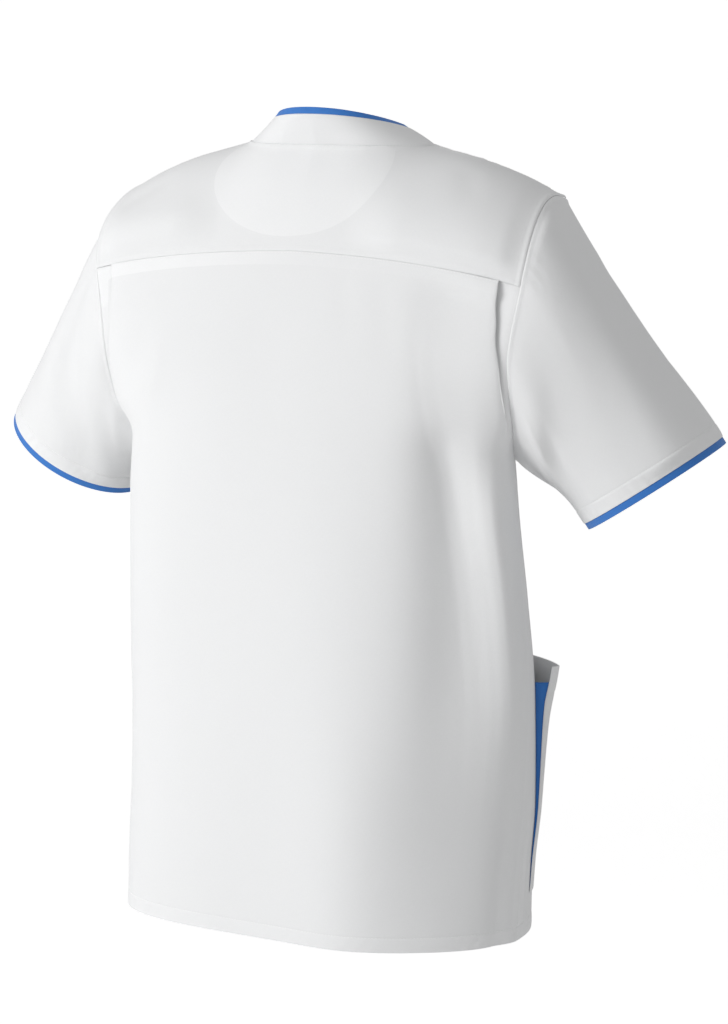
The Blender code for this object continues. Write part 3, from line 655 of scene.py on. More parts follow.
def creased(rows, across, level):
    """Summed depth of soft troughs and ridges from a table of creases."""
    total = np.zeros(np.broadcast(across, level).shape)
    for row in rows:
        crease = dict(zip(CREASE_NAMES, row))
        start = np.array((crease["across_0"], crease["level_0"]), float)
        step = np.array((crease["across_1"], crease["level_1"]), float) - start
        size = np.hypot(*step)
        way = step / size
        along = ((across - start[0]) * way[0] + (level - start[1]) * way[1]) / size
        aside = (across - start[0]) * way[1] - (level - start[1]) * way[0]
        aside = aside - crease["bow"] * 4 * along * (1 - along)
        fade = ease(along / 0.3) * ease((1 - along) / 0.4)
        total = total - crease["depth"] * fade * np.exp(-(aside / crease["width"]) ** 2)
    return total


def hem_relief(distance, along, seed, depth=HEM):
    """A turned-up hem: a slight step, a stitch groove, and drag lines between it and the edge."""
    step = 0.3 * ease((depth + 1.2 - distance) / 1.6)
    groove = bump(distance, depth, 0.75, -0.55)
    between = ease(distance / 3) * ease((depth - distance) / 3)
    drag = 0.34 * ripple(along + 0.7 * distance, seed, 9) * between
    over = np.clip(distance - depth, 0, None)
    above = 0.12 * ripple(along, seed + 1, 13) * np.exp(-over / 8) * (over > 0)
    return step + groove + drag + above


def seam_relief(distance, along, seed, ridge=0.0, pucker=0.12, width=ALLOWANCE):
    """A sewn edge: the allowance beneath it, a ridge if it is pressed up, and small puckers."""
    band = 0.22 * ease((width - distance) / 2.0)
    edge = bump(distance, 2.2, 1.6, ridge)
    return band + edge + pucker * ripple(along, seed, 11) * np.exp(-distance / 7) * ease(distance / 1.2)


def rims_at(*distances, radius=RIM):
    """How far a sheet's rims have turned in, from the distances to its edges."""
    return sum(rolled(distance, radius) for distance in distances)


def raised(base, out, relief, thick, rims):
    """Outer points and thickness of a sheet, with its relief, and with its rims rolled."""
    outer = base + out * (OVER_MIDDLE + relief - rims)[..., None]
    return outer, np.clip(thick - 2 * rims, RIM_LEFT, None)


def hemmed(to_hem):
    """Thickness of a panel that lies double at its hem."""
    return SINGLE + HEM_MORE * ease((HEM + 1 - to_hem) / 2)


def close_up(*grids):
    """Let the last column of a closed sheet's grids be the first one."""
    for grid in grids:
        grid[:, -1] = grid[:, 0]


# ---- making the pieces ---------------------------------------------------------------

class Cloth:
    """One finished sheet: its outer points, directions, cut coordinates and doubled margin."""

    def __init__(self, outer, out, thick, cut, doubled, strength=0.4, closed=False):
        self.outer, self.out, self.thick = outer, out, thick
        self.cut, self.doubled, self.closed = cut, doubled, closed
        self.strength = strength + 0 * thick

    def mirrored(self):
        """The same sheet for the wearer's other side."""
        step = slice(None, None, -1)
        cut = self.cut * np.array((-1.0, 1.0))
        return Cloth((self.outer * MIRROR)[:, step], (self.out * MIRROR)[:, step], self.thick[:, step],
                     cut[:, step], self.doubled[:, step], self.strength[:, step], self.closed)


SIDES = {"left": lambda cloth: cloth, "right": Cloth.mirrored}

laid = {}       # the sheet that has been laid for each solid of the frame, for the stitches


def wall_mesh(cloth):
    """A closed thin wall from a sheet, with its margins and its flat cut."""
    rows, columns = cloth.outer.shape[:2]
    mesh = bmesh.new()
    bmesh.ops.create_grid(mesh, x_segments=columns - 1, y_segments=rows - 1, size=1)
    place = mesh.verts.layers.int.new("place")
    doubled = mesh.verts.layers.float.new("doubled")
    strength = mesh.verts.layers.float.new("strength")
    cut = mesh.loops.layers.uv.new("cut")
    outer = (cloth.outer * MM).reshape(-1, 3)
    inner = ((cloth.outer - cloth.out * cloth.thick[..., None]) * MM).reshape(-1, 3)
    flat = (cloth.cut * MM).reshape(-1, 2)
    margin, shown = cloth.doubled.ravel(), cloth.strength.ravel()
    for number, vert in enumerate(mesh.verts):
        vert[place] = number
        vert[doubled] = margin[number]
        vert[strength] = shown[number]
        vert.co = outer[number]
    for face in mesh.faces:
        for loop in face.loops:
            loop[cut].uv = flat[loop.vert[place]]
    if cloth.closed:
        bmesh.ops.remove_doubles(mesh, verts=mesh.verts, dist=1e-6)
    walled = bmesh.ops.extrude_face_region(mesh, geom=mesh.faces[:])
    lifted = {item for item in walled["geom"] if isinstance(item, bmesh.types.BMVert)}
    for vert in mesh.verts:
        vert.co = outer[vert[place]] if vert in lifted else inner[vert[place]]
    bmesh.ops.recalc_face_normals(mesh, faces=mesh.faces)
    return mesh


def finished(name, mesh, finish):
    """Turn a bmesh into a smooth object in the scene."""
    data = bpy.data.meshes.new(name)
    mesh.to_mesh(data)
    mesh.free()
    data.materials.append(finish)
    data.shade_smooth()
    piece = bpy.data.objects.new(name, data)
    bpy.context.scene.collection.objects.link(piece)
    return piece


def lay(node, cloth, finish):
    """Lay a piece of cloth in place of its solid in the frame, with its flat cut as a UV map."""
    piece = finished(node + "_cloth", wall_mesh(cloth), finish)
    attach(piece, BODY)
    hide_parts(node)
    laid[node] = cloth


def lay_white(node, cloth):
    """Lay a piece of the white cloth."""
    lay(node, cloth, white_finish())


def lay_blue(node, cloth):
    """Lay a piece of the blue contrast cloth."""
    lay(node, cloth, blue_finish())


def folded(up, flat, place):
    """Where the action pleats put the back's cloth: away from the armhole, and standing off."""
    shares = {name: column(PLEAT_ROWS, PLEAT_NAMES, name, up) for name in PLEAT_NAMES[1:]}
    whole = sum(shares[form] for form in PLEAT_FORMS)
    near = np.minimum(flat, FOLD_REACH)
    away, over = 0, 0
    for form in PLEAT_FORMS:
        share = shares[form] / whole
        moved = near if form == "side" else column(FOLD_ROWS, FOLD_NAMES, "away_" + form, near)
        away = away + share * moved
        over = over + share * column(FOLD_ROWS, FOLD_NAMES, "over_" + form, near)
    height = np.where(place[None, :] < 0, shares["right"], shares["left"])
    return away + flat - near, over * height, 1 - shares["side"] / whole


def slid(base, across_row, away):
    """Points of a sheet's rows, moved along them to given distances from the nearer edge."""
    total = across_row[:, -1:]
    first_half = across_row < total / 2
    target = np.where(first_half, away, total - away)
    moved = np.empty_like(base)
    for row, line in enumerate(base):
        for axis in range(3):
            moved[row, :, axis] = np.interp(target[row], across_row[row], line[:, axis])
    beyond = np.clip(-away, 0, None)[..., None]
    return moved + beyond * np.where(first_half, -1, 1)[..., None] * unit(np.gradient(base, axis=1))


def back_cloth(sizes):
    """The back panel, with its hem, its creases and the action pleats."""
    across, place, half = fine_columns(back_sheet, 0.9, PLEAT_STEPS, sizes.pitch)
    up, to_hem, total = fine_rows(back_sheet, across, 0.0, 1.0, HEM_STEPS, SEAM_STEPS, sizes.pitch * 1.3)
    base = back_sheet(up, across)
    out = outward(base, 1)
    level = base[..., 2]
    to_seam = total - to_hem
    across_row = walked(base, axis=1)
    flat = np.minimum(across_row, across_row[:, -1:] - across_row)
    away, over, share = folded(up, flat, place)
    way = FOLD_WAY * np.where(place[None, :, None] > 0, MIRROR, 1)
    along = place[None, :] + 0 * level
    relief = creased(BACK_CREASES, along, level) * ease(flat / 30) * ease(to_seam / 25)
    relief += hem_relief(to_hem, along, WAVES["back hem"])
    relief += seam_relief(to_seam, along, WAVES["back top"], ridge=0.0, pucker=0.10)
    relief += seam_relief(flat, level, WAVES["back side"], ridge=0.35, pucker=0.10) * (1 - 0.6 * share)
    pleated = slid(base, across_row, away) + way * over[..., None]
    outer, thick = raised(pleated, out, relief, hemmed(to_hem), rims_at(to_hem, to_seam, flat))
    doubled = np.maximum.reduce([HEM - to_hem, ALLOWANCE - to_seam, EDGE_SEWN - flat])
    # Below the yoke seam the allowance shows through as a lighter band, which is real; its strength rising
    # towards the wearer's left, the side the key light comes from, is painted light.
    strength = np.where(to_seam < 40, 0.12 + 0.6 * ease((along + 60) / 200), 0.2)
    return Cloth(outer, outward(outer, 1), thick, np.stack([along, to_hem], -1), doubled, strength)


def yoke_cloth(sizes):
    """The yoke, with the half-moon patch that shows through it."""
    across, place, half = fine_columns(yoke_sheet, 0.0, SEAM_STEPS, sizes.pitch)
    top = neck_cut_back(across)
    up, from_seam, total = fine_rows(yoke_sheet, across, 0.0, top, SEAM_STEPS, SEAM_STEPS, sizes.pitch)
    base = yoke_sheet(up, across)
    out = outward(base, 1)
    along = place[None, :] + 0 * from_seam
    to_top = total - from_seam
    flat = half - np.abs(along)
    fade = ease(from_seam / 20) * ease(to_top / 20) * ease(flat / 25)
    relief = seam_relief(flat, from_seam, WAVES["yoke armhole"], ridge=0.9, pucker=0.05)
    relief += seam_relief(from_seam, along, WAVES["yoke seam"], ridge=0.25, pucker=0.06, width=YOKE_SEWN)
    relief += seam_relief(to_top, along, WAVES["yoke neck"], ridge=0.8, pucker=0.36, width=NECK_SEWN)
    curve = np.hypot((along - PATCH_ASIDE) / PATCH_HALF, (from_seam - PATCH_RISE) / PATCH_DEPTH)
    patch = (1 - curve) * PATCH_DEPTH
    relief += 0.25 * ease((patch + 1.5) / 3.0)
    relief += creased(YOKE_CREASES, along, from_seam) * fade
    outer, thick = raised(base, out, relief, SINGLE, rims_at(from_seam, to_top, flat))
    seams = np.maximum.reduce([YOKE_SEWN - from_seam, EDGE_SEWN - flat, NECK_SEWN - to_top])
    doubled = np.maximum(patch, seams)
    strength = np.where(patch > seams, 0.7, 0.15)
    return Cloth(outer, outward(outer, 1), thick, np.stack([along, from_seam], -1), doubled, strength)


def front_cloth(sizes):
    """The front panel, cut in one with its V."""
    across, place, half = fine_columns(front_sheet, 0.8, SEAM_STEPS, sizes.pitch)
    top = 1 + neck_cut_front(across)
    up, from_hem, total = fine_rows(front_sheet, across, 0.0, top, HEM_STEPS, SEAM_STEPS,
                                    sizes.pitch * 1.35, dense=401)
    base = front_sheet(up, across)
    along = place[None, :] + 0 * from_hem
    to_top = total - from_hem
    flat = half - np.abs(along)
    relief = hem_relief(from_hem, along, WAVES["front hem"])
    relief += seam_relief(to_top, along, WAVES["front top"], ridge=0.2, pucker=0.12, width=EDGE_SEWN)
    relief += seam_relief(flat, base[..., 2], WAVES["front side"], ridge=0.2, pucker=0.08, width=EDGE_SEWN)
    rims = rims_at(from_hem, to_top, flat)
    outer, thick = raised(base, outward(base, -1), relief, hemmed(from_hem), rims)
    doubled = np.maximum.reduce([HEM - from_hem, EDGE_SEWN - to_top, EDGE_SEWN - flat])
    return Cloth(outer, outward(outer, -1), thick, np.stack([along, from_hem], -1), doubled)


def sleeve_cloth(sizes, creases):
    """The left sleeve, closed along its underarm seam."""
    ring = ARMHOLE_WALK[-1]
    place = spread(ring, SEAM_STEPS, SEAM_STEPS, sizes.pitch)[:, 0]
    around = place / ring
    down, from_top, total = fine_rows(sleeve_sheet, around, 0.0, 1.0, SEAM_STEPS, HEM_STEPS,
                                      sizes.pitch * 1.2)
    base = sleeve_sheet(down, around)
    close_up(base)
    along = place[None, :] + 0 * from_top
    to_hem = total - from_top
    underarm = np.minimum(along, ring - along)
    relief = creased(creases, along, from_top) * ease(from_top / 12) * ease(to_hem / 12)
    relief += hem_relief(to_hem, along, WAVES["sleeve hem"])
    relief += seam_relief(from_top, along, WAVES["sleeve head"], ridge=0.7, pucker=0.18, width=6)
    relief += bump(underarm, 0, 0.7, -0.5)
    out = outward(base, -1, closed=True)
    outer, thick = raised(base, out, relief, hemmed(to_hem), rims_at(to_hem, from_top))
    doubled = np.maximum.reduce([HEM - to_hem, SLEEVE_SEWN - from_top, SLEEVE_SEWN - underarm])
    close_up(outer, thick, doubled)
    cut = np.stack([along, to_hem], -1)
    return Cloth(outer, outward(outer, -1, closed=True), thick, cut, doubled, 0.25, closed=True)


def strip_cloth(start, end, side, steps, thick, sink=0.0, bulge=0.0):
    """A closed band between two loops of points, with rolled rims at both."""
    share = np.array(steps)[:, None]
    base = start[None] * (1 - share[..., None]) + end[None] * share[..., None]
    wide = length(end - start)[:, 0]
    along = walked(start)[None, :] + 0 * share
    low, high = share * wide, (1 - share) * wide
    relief = bulge * np.sin(np.pi * share) - sink
    rims = rims_at(low, high, radius=thick / 2)
    outer, walls = raised(base, outward(base, side, closed=True), relief, thick, rims)
    close_up(outer, walls)
    cut = np.stack([along, low], -1)
    doubled = np.full(walls.shape, ALL_DOUBLE)
    return Cloth(outer, outward(outer, side, closed=True), walls, cut, doubled, 0.2, closed=True)


def facing_cloth():
    """Half-moon inside the nape, on the yoke's own columns."""
    end = neck_end(yoke_reach) * 0.985
    across = np.sin(np.linspace(-1, 1, 81) * np.pi / 2) * end
    top = neck_cut_back(across)
    aside = np.clip(np.abs(yoke_reach(across)) / FACING_HALF, 0, 1)
    depth = FACING_SIDE + (FACING_DEPTH - FACING_SIDE) * np.sqrt(1 - aside ** 2)
    levels = top * np.linspace(0, 1, 241)[:, None]
    far = walked(yoke_sheet(levels, across))
    wanted = far[-1] - (depth + (FACING_TOP - depth) * np.linspace(0, 1, 41)[:, None])
    rows = np.stack([np.interp(wanted[:, j], far[:, j], levels[:, j]) for j in range(len(across))], 1)
    base = yoke_sheet(rows, across)
    out = outward(base, 1)
    outer = base - out * FACING_UNDER
    thick = np.full(rows.shape, FACING_CLOTH)
    cut = np.stack([yoke_reach(np.abs(across)) * np.sign(across) + 0 * wanted, wanted], -1)
    return Cloth(outer, out, thick, cut, np.full(rows.shape, ALL_SINGLE))


def pocket_place():
    """Places across the front sheet of the pocket's inner and outer edges."""
    end = neck_end(chest_reach)
    return POCKET_NEAR * end, end + (1 - end) * (POCKET_FAR - SHOULDER_FROM) / (1 - SHOULDER_FROM)


def under_pocket(rise, place):
    """Points of the front beneath the pocket, the way square to it, and the way to the side."""
    low, high = (level / UNDERARM for level in POCKET_UP)
    up = low + (high - low) * rise
    here = front_sheet(up, place)
    sideways = front_sheet(up, place + SMALL) - here
    square = unit(np.cross(front_sheet(up + SMALL, place) - here, sideways)) * -1
    return here, square, unit(sideways)


def pocket_lift(rise, across):
    """How far the pocket stands off the front: most at its top outer corner."""
    gape = column(GAPE_ROWS, GAPE_NAMES, "share", rise)
    return POCKET_ON + POCKET_GAPE * gape * across ** 2


def pocket_sheet(rise, across):
    """The left pocket: the front's own sheet, lifted off it towards the top outer corner."""
    near, far = pocket_place()
    here, square, _ = under_pocket(rise, near + (far - near) * across)
    return here + square * pocket_lift(rise, across)[..., None]


def gusset_sheet(rise, share):
    """The left gusset: from the front panel, share 0, out to the pocket's edge, share 1."""
    rise, share = np.broadcast_arrays(np.asarray(rise, float), np.asarray(share, float))
    root, square, sideways = under_pocket(rise, pocket_place()[1])
    start = root + square * GUSSET_ROOT - sideways * GUSSET_IN
    end = pocket_sheet(rise, 1.0) - square * GUSSET_UNDER - sideways * GUSSET_IN
    bulge = GUSSET_BULGE * length(end - start) * np.sin(np.pi * share)[..., None]
    return start * (1 - share[..., None]) + end * share[..., None] + sideways * bulge


def pocket_cloth(sizes):
    """The left pocket, with its outer edge folded back over the gusset."""
    flat = np.linspace(0, 1, 121)
    wide = walked(pocket_sheet(0.3 + 0 * flat, flat))
    place = spread(wide[-1], SEAM_STEPS, POCKET_STEPS, sizes.pitch)[:, 0]
    across = np.interp(place, wide, flat)

    def sheet(rise, columns):
        return pocket_sheet(*np.broadcast_arrays(rise, columns))

    rise, from_foot, total = fine_rows(sheet, across, 0.0, 1.0, SEAM_STEPS, SEAM_STEPS, sizes.pitch)
    face = sheet(rise, across)
    edge_rise = rise[:, -1:]
    gusset = length(gusset_sheet(edge_rise, 1.0) - gusset_sheet(edge_rise, 0.0))[..., 0]
    back = np.minimum(POCKET_FOLD, 0.45 * gusset) * POCKET_TURN
    fold = gusset_sheet(edge_rise, 1 - back / np.maximum(gusset, 1e-3))
    sideways = unit(face[:, -1:] - face[:, -3:-2])
    base = np.concatenate([face, fold + sideways * 1.5], axis=1)
    along = np.concatenate([place[None, :] + 0 * from_foot, place[-1] + back], axis=1)
    more = np.zeros((1, back.shape[1]))
    to_top = total - from_foot
    to_top = np.concatenate([to_top, to_top[:, -1:] + more], axis=1)
    from_foot = np.concatenate([from_foot, from_foot[:, -1:] + more], axis=1)
    near, far = along, along[:, -1:] - along
    relief = bump(to_top, POCKET_HEM, 0.75, -0.4) + 0.3 * ease((POCKET_HEM + 1 - to_top) / 1.6)
    relief += bump(np.minimum(near, from_foot), 1.8, 0.7, -0.25)
    rims = rims_at(near, far, from_foot, to_top)
    outer, thick = raised(base, outward(base, -1), relief, POCKET_CLOTH, rims)
    doubled = np.maximum.reduce([POCKET_HEM - to_top, EDGE_SEWN - near, EDGE_SEWN - from_foot])
    return Cloth(outer, outward(outer, -1), thick, np.stack([along, from_foot], -1), doubled, 0.2)


def gusset_cloth():
    """The left gusset, up to where it stops below the pocket's top edge."""
    rise = np.linspace(0.02, 1 - GUSSET_STOP / POCKET_HIGH, 80)[:, None]
    base = gusset_sheet(rise, np.linspace(0, 1, 17)[None, :])
    cut = np.stack([walked(base, axis=1), walked(base, axis=0)], -1)
    whole = np.ones(base.shape[:2])
    return Cloth(base, outward(base, -1), GUSSET_CLOTH * whole, cut, ALL_SINGLE * whole)


# ---- stitches ------------------------------------------------------------------------

def sew(mesh, line, out, sizes, lift=0.12):
    """Add a run of stitches along a line of points, in millimetres."""
    far = walked(line)
    pace = sizes.stitch + sizes.stitch_gap
    centres = np.arange(pace / 2, far[-1] - pace / 2, pace)
    for centre in centres:
        ends = [np.array([np.interp(centre + half, far, line[:, axis]) for axis in range(3)])
                for half in (-sizes.stitch / 2, sizes.stitch / 2)]
        up = np.array([np.interp(centre, far, out[:, axis]) for axis in range(3)])
        add_stitch(mesh, ends[0] + up * lift, ends[1] + up * lift, up, sizes.thread)


def add_stitch(mesh, start, end, up, thread):
    """One stitch: a small rounded stroke of thread."""
    along = Vector(end - start)
    reach = along.length / 2
    along.normalize()
    up = Vector(up)
    side = up.cross(along).normalized()
    up = along.cross(side)
    turn = Matrix((along, side, up)).transposed().to_4x4()
    size = Matrix.Diagonal((reach * MM, thread * 0.5 * MM, thread * 0.4 * MM, 1))
    place = Matrix.Translation(Vector((start + end) / 2 * MM))
    bmesh.ops.create_icosphere(mesh, subdivisions=2, radius=1, matrix=place @ turn @ size)


def tack(mesh, at, along, up, sizes, wide=9.0, tall=2.4, count=9):
    """A bar tack: a short block of stitches side by side."""
    along, up = unit(along), unit(up)
    across = np.cross(up, along)
    for place in np.linspace(-wide / 2, wide / 2, count):
        start = at + along * place - across * tall / 2 + up * 0.15
        add_stitch(mesh, start, start + across * tall, up, sizes.thread)


def line_of(node, place):
    """A line of a laid sheet, a row or a column of it, with the ways out of the garment."""
    if node not in laid:
        raise RuntimeError(node + " has to be laid before it is stitched")
    return laid[node].outer[place], laid[node].out[place]


# ---- finishes ------------------------------------------------------------------------

def node_of(tree, kind, values=None, **settings):
    """A new node, with its settings and then the values of some of its inputs."""
    node = tree.nodes.new(kind)
    for name, value in settings.items():
        setattr(node, name, value)
    for name, value in (values or {}).items():
        node.inputs[name].default_value = value
    return node


def math_of(tree, operation, *terms):
    """Output of a new node that works on numbers or on outputs of other nodes."""
    node = node_of(tree, "ShaderNodeMath", operation=operation)
    for place, term in enumerate(terms):
        if isinstance(term, (int, float)):
            node.inputs[place].default_value = term
        else:
            tree.links.new(term, node.inputs[place])
    return node.outputs[0]


def plain_finish(name, values):
    """A new material with the given values on its shader."""
    finish = bpy.data.materials.new(name)
    finish.use_nodes = True
    shader = finish.node_tree.nodes["Principled BSDF"]
    for socket, value in values.items():
        shader.inputs[socket].default_value = value
    return finish, finish.node_tree, shader


def weave_group():
    """Twill weave and uneven yarns, from flat cut coordinates in metres."""
    group = bpy.data.node_groups.get("twill weave")
    if group:
        return group
    group = bpy.data.node_groups.new("twill weave", "ShaderNodeTree")
    group.interface.new_socket(name="Cut", in_out="INPUT", socket_type="NodeSocketVector")
    group.interface.new_socket(name="Wale", in_out="INPUT", socket_type="NodeSocketFloat")
    group.interface.new_socket(name="Height", in_out="OUTPUT", socket_type="NodeSocketFloat")
    group.interface.new_socket(name="Yarn", in_out="OUTPUT", socket_type="NodeSocketFloat")
    inside, outside = group.nodes.new("NodeGroupInput"), group.nodes.new("NodeGroupOutput")
    cut, wale_pitch = inside.outputs["Cut"], inside.outputs["Wale"]
    split = group.nodes.new("ShaderNodeSeparateXYZ")
    group.links.new(cut, split.inputs[0])
    slant = math_of(group, "MULTIPLY_ADD", split.outputs[1], 0.5, split.outputs[0])
    turns = math_of(group, "DIVIDE", slant, wale_pitch)
    wale = math_of(group, "SINE", math_of(group, "MULTIPLY", turns, 2 * np.pi))
    turns = math_of(group, "DIVIDE", split.outputs[1], wale_pitch)
    weft = math_of(group, "SINE", math_of(group, "MULTIPLY", turns, 3 * np.pi))
    weave = math_of(group, "MULTIPLY_ADD", weft, 0.35, wale)
    yarns = []
    for stretch in ((1500.0, 260.0, 1.0), (260.0, 1500.0, 1.0)):
        scaled = node_of(group, "ShaderNodeVectorMath", {1: stretch}, operation="MULTIPLY")
        noise = node_of(group, "ShaderNodeTexNoise", {"Scale": 1.0, "Detail": 2.0})
        group.links.new(cut, scaled.inputs[0])
        group.links.new(scaled.outputs[0], noise.inputs["Vector"])
        yarns.append(noise.outputs["Fac"])
    yarn = math_of(group, "MULTIPLY", math_of(group, "ADD", *yarns), 0.5)
    height = math_of(group, "MULTIPLY_ADD", yarn, 1.5, math_of(group, "MULTIPLY", weave, 0.5))
    group.links.new(height, outside.inputs["Height"])
    group.links.new(yarn, outside.inputs["Yarn"])
    return group


def cloth_finish(name, single, double, sheen, wale, relief):
    """Woven cloth: lighter where it lies double, with a twill bump and uneven yarns."""
    finish = bpy.data.materials.get(name)
    if finish:
        return finish
    finish, tree, shader = plain_finish(name, {
        "Roughness": 0.9, "Specular IOR Level": 0.25, "Sheen Weight": sheen, "Sheen Roughness": 0.5})
    cut = node_of(tree, "ShaderNodeUVMap", uv_map="cut")
    weave = node_of(tree, "ShaderNodeGroup", {"Wale": wale}, node_tree=weave_group())
    doubled = node_of(tree, "ShaderNodeAttribute", attribute_name="doubled")
    strength = node_of(tree, "ShaderNodeAttribute", attribute_name="strength")
    edge = node_of(tree, "ShaderNodeMapRange", {"From Min": -0.5, "From Max": 0.5},
                   interpolation_type="SMOOTHSTEP")
    yarn = node_of(tree, "ShaderNodeMapRange",
                   {"From Min": 0.3, "From Max": 0.7, "To Min": 0.98, "To Max": 1.012})
    base = node_of(tree, "ShaderNodeMix", {"A": (*single, 1), "B": (*double, 1)}, data_type="RGBA")
    shade = node_of(tree, "ShaderNodeMix", {"Factor": 1.0}, data_type="RGBA", blend_type="MULTIPLY")
    bumped = node_of(tree, "ShaderNodeBump", {"Strength": relief, "Distance": 0.0001})
    shown = math_of(tree, "MULTIPLY", edge.outputs["Result"], strength.outputs["Fac"])
    for start, end in (
            (cut.outputs["UV"], weave.inputs["Cut"]),
            (doubled.outputs["Fac"], edge.inputs["Value"]),
            (shown, base.inputs["Factor"]),
            (weave.outputs["Yarn"], yarn.inputs["Value"]),
            (base.outputs["Result"], shade.inputs["A"]),
            (yarn.outputs["Result"], shade.inputs["B"]),
            (shade.outputs["Result"], shader.inputs["Base Color"]),
            (weave.outputs["Height"], bumped.inputs["Height"]),
            (bumped.outputs["Normal"], shader.inputs["Normal"])):
        tree.links.new(start, end)
    return finish


def white_finish():
    looks = bpy.context.scene.top_looks
    return cloth_finish("white cloth", looks.white_single, looks.white_double, 0.12, 0.0007, 0.6)


def blue_finish():
    looks = bpy.context.scene.top_looks
    return cloth_finish("blue cloth", looks.blue, looks.blue, 0.2, 0.0006, 0.7)


def thread_finish(name, colour):
    finish = bpy.data.materials.get(name)
    if finish:
        return finish
    return plain_finish(name, {"Base Color": (*colour, 1), "Roughness": 0.55, "Sheen Weight": 0.2})[0]


# ---- settings ------------------------------------------------------------------------

def plain(name, about, default, **limits):
    """A setting that is a plain number."""
    return FloatProperty(name=name, description=about, default=default, **limits)


def metres(name, about, default):
    """A setting that is a length in metres."""
    return FloatProperty(name=name, description=about, subtype="DISTANCE", unit="LENGTH", default=default)


def turned(name, about, degrees):
    """A setting that is an angle."""
    return FloatProperty(name=name, description=about, subtype="ANGLE", unit="ROTATION",
                         default=np.radians(degrees))


def tint(name, about, default):
    """A setting that is a colour."""
    return FloatVectorProperty(name=name, description=about, subtype="COLOR", size=3, default=default)


class TopSizes(bpy.types.PropertyGroup):
    """Sizes in millimetres of how the cloth is drawn and sewn."""

    pitch: plain("Pitch", "Distance between grid lines of the cloth, in millimetres", 3.3, min=1.5, max=20)
    stitch: plain("Stitch", "Length of a stitch, in millimetres", 2.5)
    stitch_gap: plain("Stitch gap", "Gap between stitches, in millimetres", 0.8)
    thread: plain("Thread", "Thickness of the thread, in millimetres", 0.42)


class TopLooks(bpy.types.PropertyGroup):
    """Colours of the cloth, of the thread and of the floor."""

    white_single: tint("White, single", "White cloth where it lies single", (0.80, 0.805, 0.81))
    white_double: tint("White, double", "White cloth where it lies double", (0.86, 0.865, 0.87))
    blue: tint("Blue", "Contrast cloth", (0.045, 0.19, 0.56))
    thread: tint("Thread", "White sewing thread", (0.88, 0.88, 0.88))
    floor: tint("Floor", "Studio floor", (0.93, 0.93, 0.93))


class TopStage(bpy.types.PropertyGroup):
    """Camera and lights."""

    azimuth: turned("Azimuth", "Where the camera stands, behind the wearer's right", 208.0)
    distance: metres("Distance", "Level distance from camera to garment", 3.484)
    height: metres("Height", "Camera's height over the neck base", 0.150)
    tilt: turned("Tilt", "How far the camera looks down", 8.33)
    aside: metres("Aside", "How far the camera stands right of the line to the neck", 0.0251)
    lens: plain("Lens", "Focal length on a 36 mm frame, in millimetres", 126.9)
    floor_drop: metres("Floor drop", "How far the floor lies under the neck base", 1.45)
    light_power: plain("Light power", "Factor on the power of all soft lights", 1.0, min=0)
    light_size: metres("Light size", "Width of the soft lights", 1.8)
    light_distance: metres("Light distance", "From the soft lights to the garment", 3.0)
    ambient: plain("Ambient", "Strength of the light from all around", 0.54)
    floor_glow: plain("Floor glow", "Extra brightness of the white floor as seen", 0.45, min=0)


# ---- operators -----------------------------------------------------------------------

class TOP_OT_body(bpy.types.Operator):
    """Lay the back, yoke, front and facing"""

    bl_idname = "scrub_top.body"
    bl_label = "Body panels"

    def execute(self, context):
        sizes = context.scene.top_sizes
        lay_white("back_panel", back_cloth(sizes))
        lay_white("back_yoke", yoke_cloth(sizes))
        lay_white("front_panel", front_cloth(sizes))
        lay_white("neck_facing", facing_cloth())
        return {"FINISHED"}


class TOP_OT_sleeves(bpy.types.Operator):
    """Lay both sleeves and the contrast strips along their hems"""

    bl_idname = "scrub_top.sleeves"
    bl_label = "Sleeves"

    def execute(self, context):
        sizes = context.scene.top_sizes
        around = spread(1.0, (0.0,), (0.0,), sizes.pitch / CUFF_ROUND)[:, 0]
        cuff = sleeve_sheet(1.0, around)
        end = cuff + unit(CUFF_AXIS) * TRIM
        strip = strip_cloth(cuff, end, -1, STRIP_STEPS, TRIM_CLOTH, sink=0.45)
        for side, turn in SIDES.items():
            sleeve = sleeve_cloth(sizes, SLEEVE_CREASES[side])
            lay_white("sleeve_" + side, turn(sleeve))
            lay_blue("sleeve_trim_" + side, turn(strip))
        return {"FINISHED"}


class TOP_OT_neck(bpy.types.Operator):
    """Lay the neckband and the contrast strip along its free edge"""

    bl_idname = "scrub_top.neck"
    bl_label = "Neck"

    def execute(self, context):
        seam, nape_count = neck_seam(context.scene.top_sizes.pitch)
        edge = band_edge(seam, nape_count)
        rise = edge + unit(edge - seam) * TRIM
        lay_white("neckband", strip_cloth(seam, edge, 1, BAND_STEPS, BAND_CLOTH, bulge=0.6))
        lay_blue("neck_trim", strip_cloth(edge, rise, 1, STRIP_STEPS, TRIM_CLOTH, sink=0.35))
        return {"FINISHED"}


class TOP_OT_pockets(bpy.types.Operator):
    """Lay both pockets and their contrast gussets"""

    bl_idname = "scrub_top.pockets"
    bl_label = "Pockets"

    def execute(self, context):
        pocket, gusset = pocket_cloth(context.scene.top_sizes), gusset_cloth()
        for side, turn in SIDES.items():
            lay_white("pocket_" + side, turn(pocket))
            lay_blue("pocket_gusset_" + side, turn(gusset))
        return {"FINISHED"}


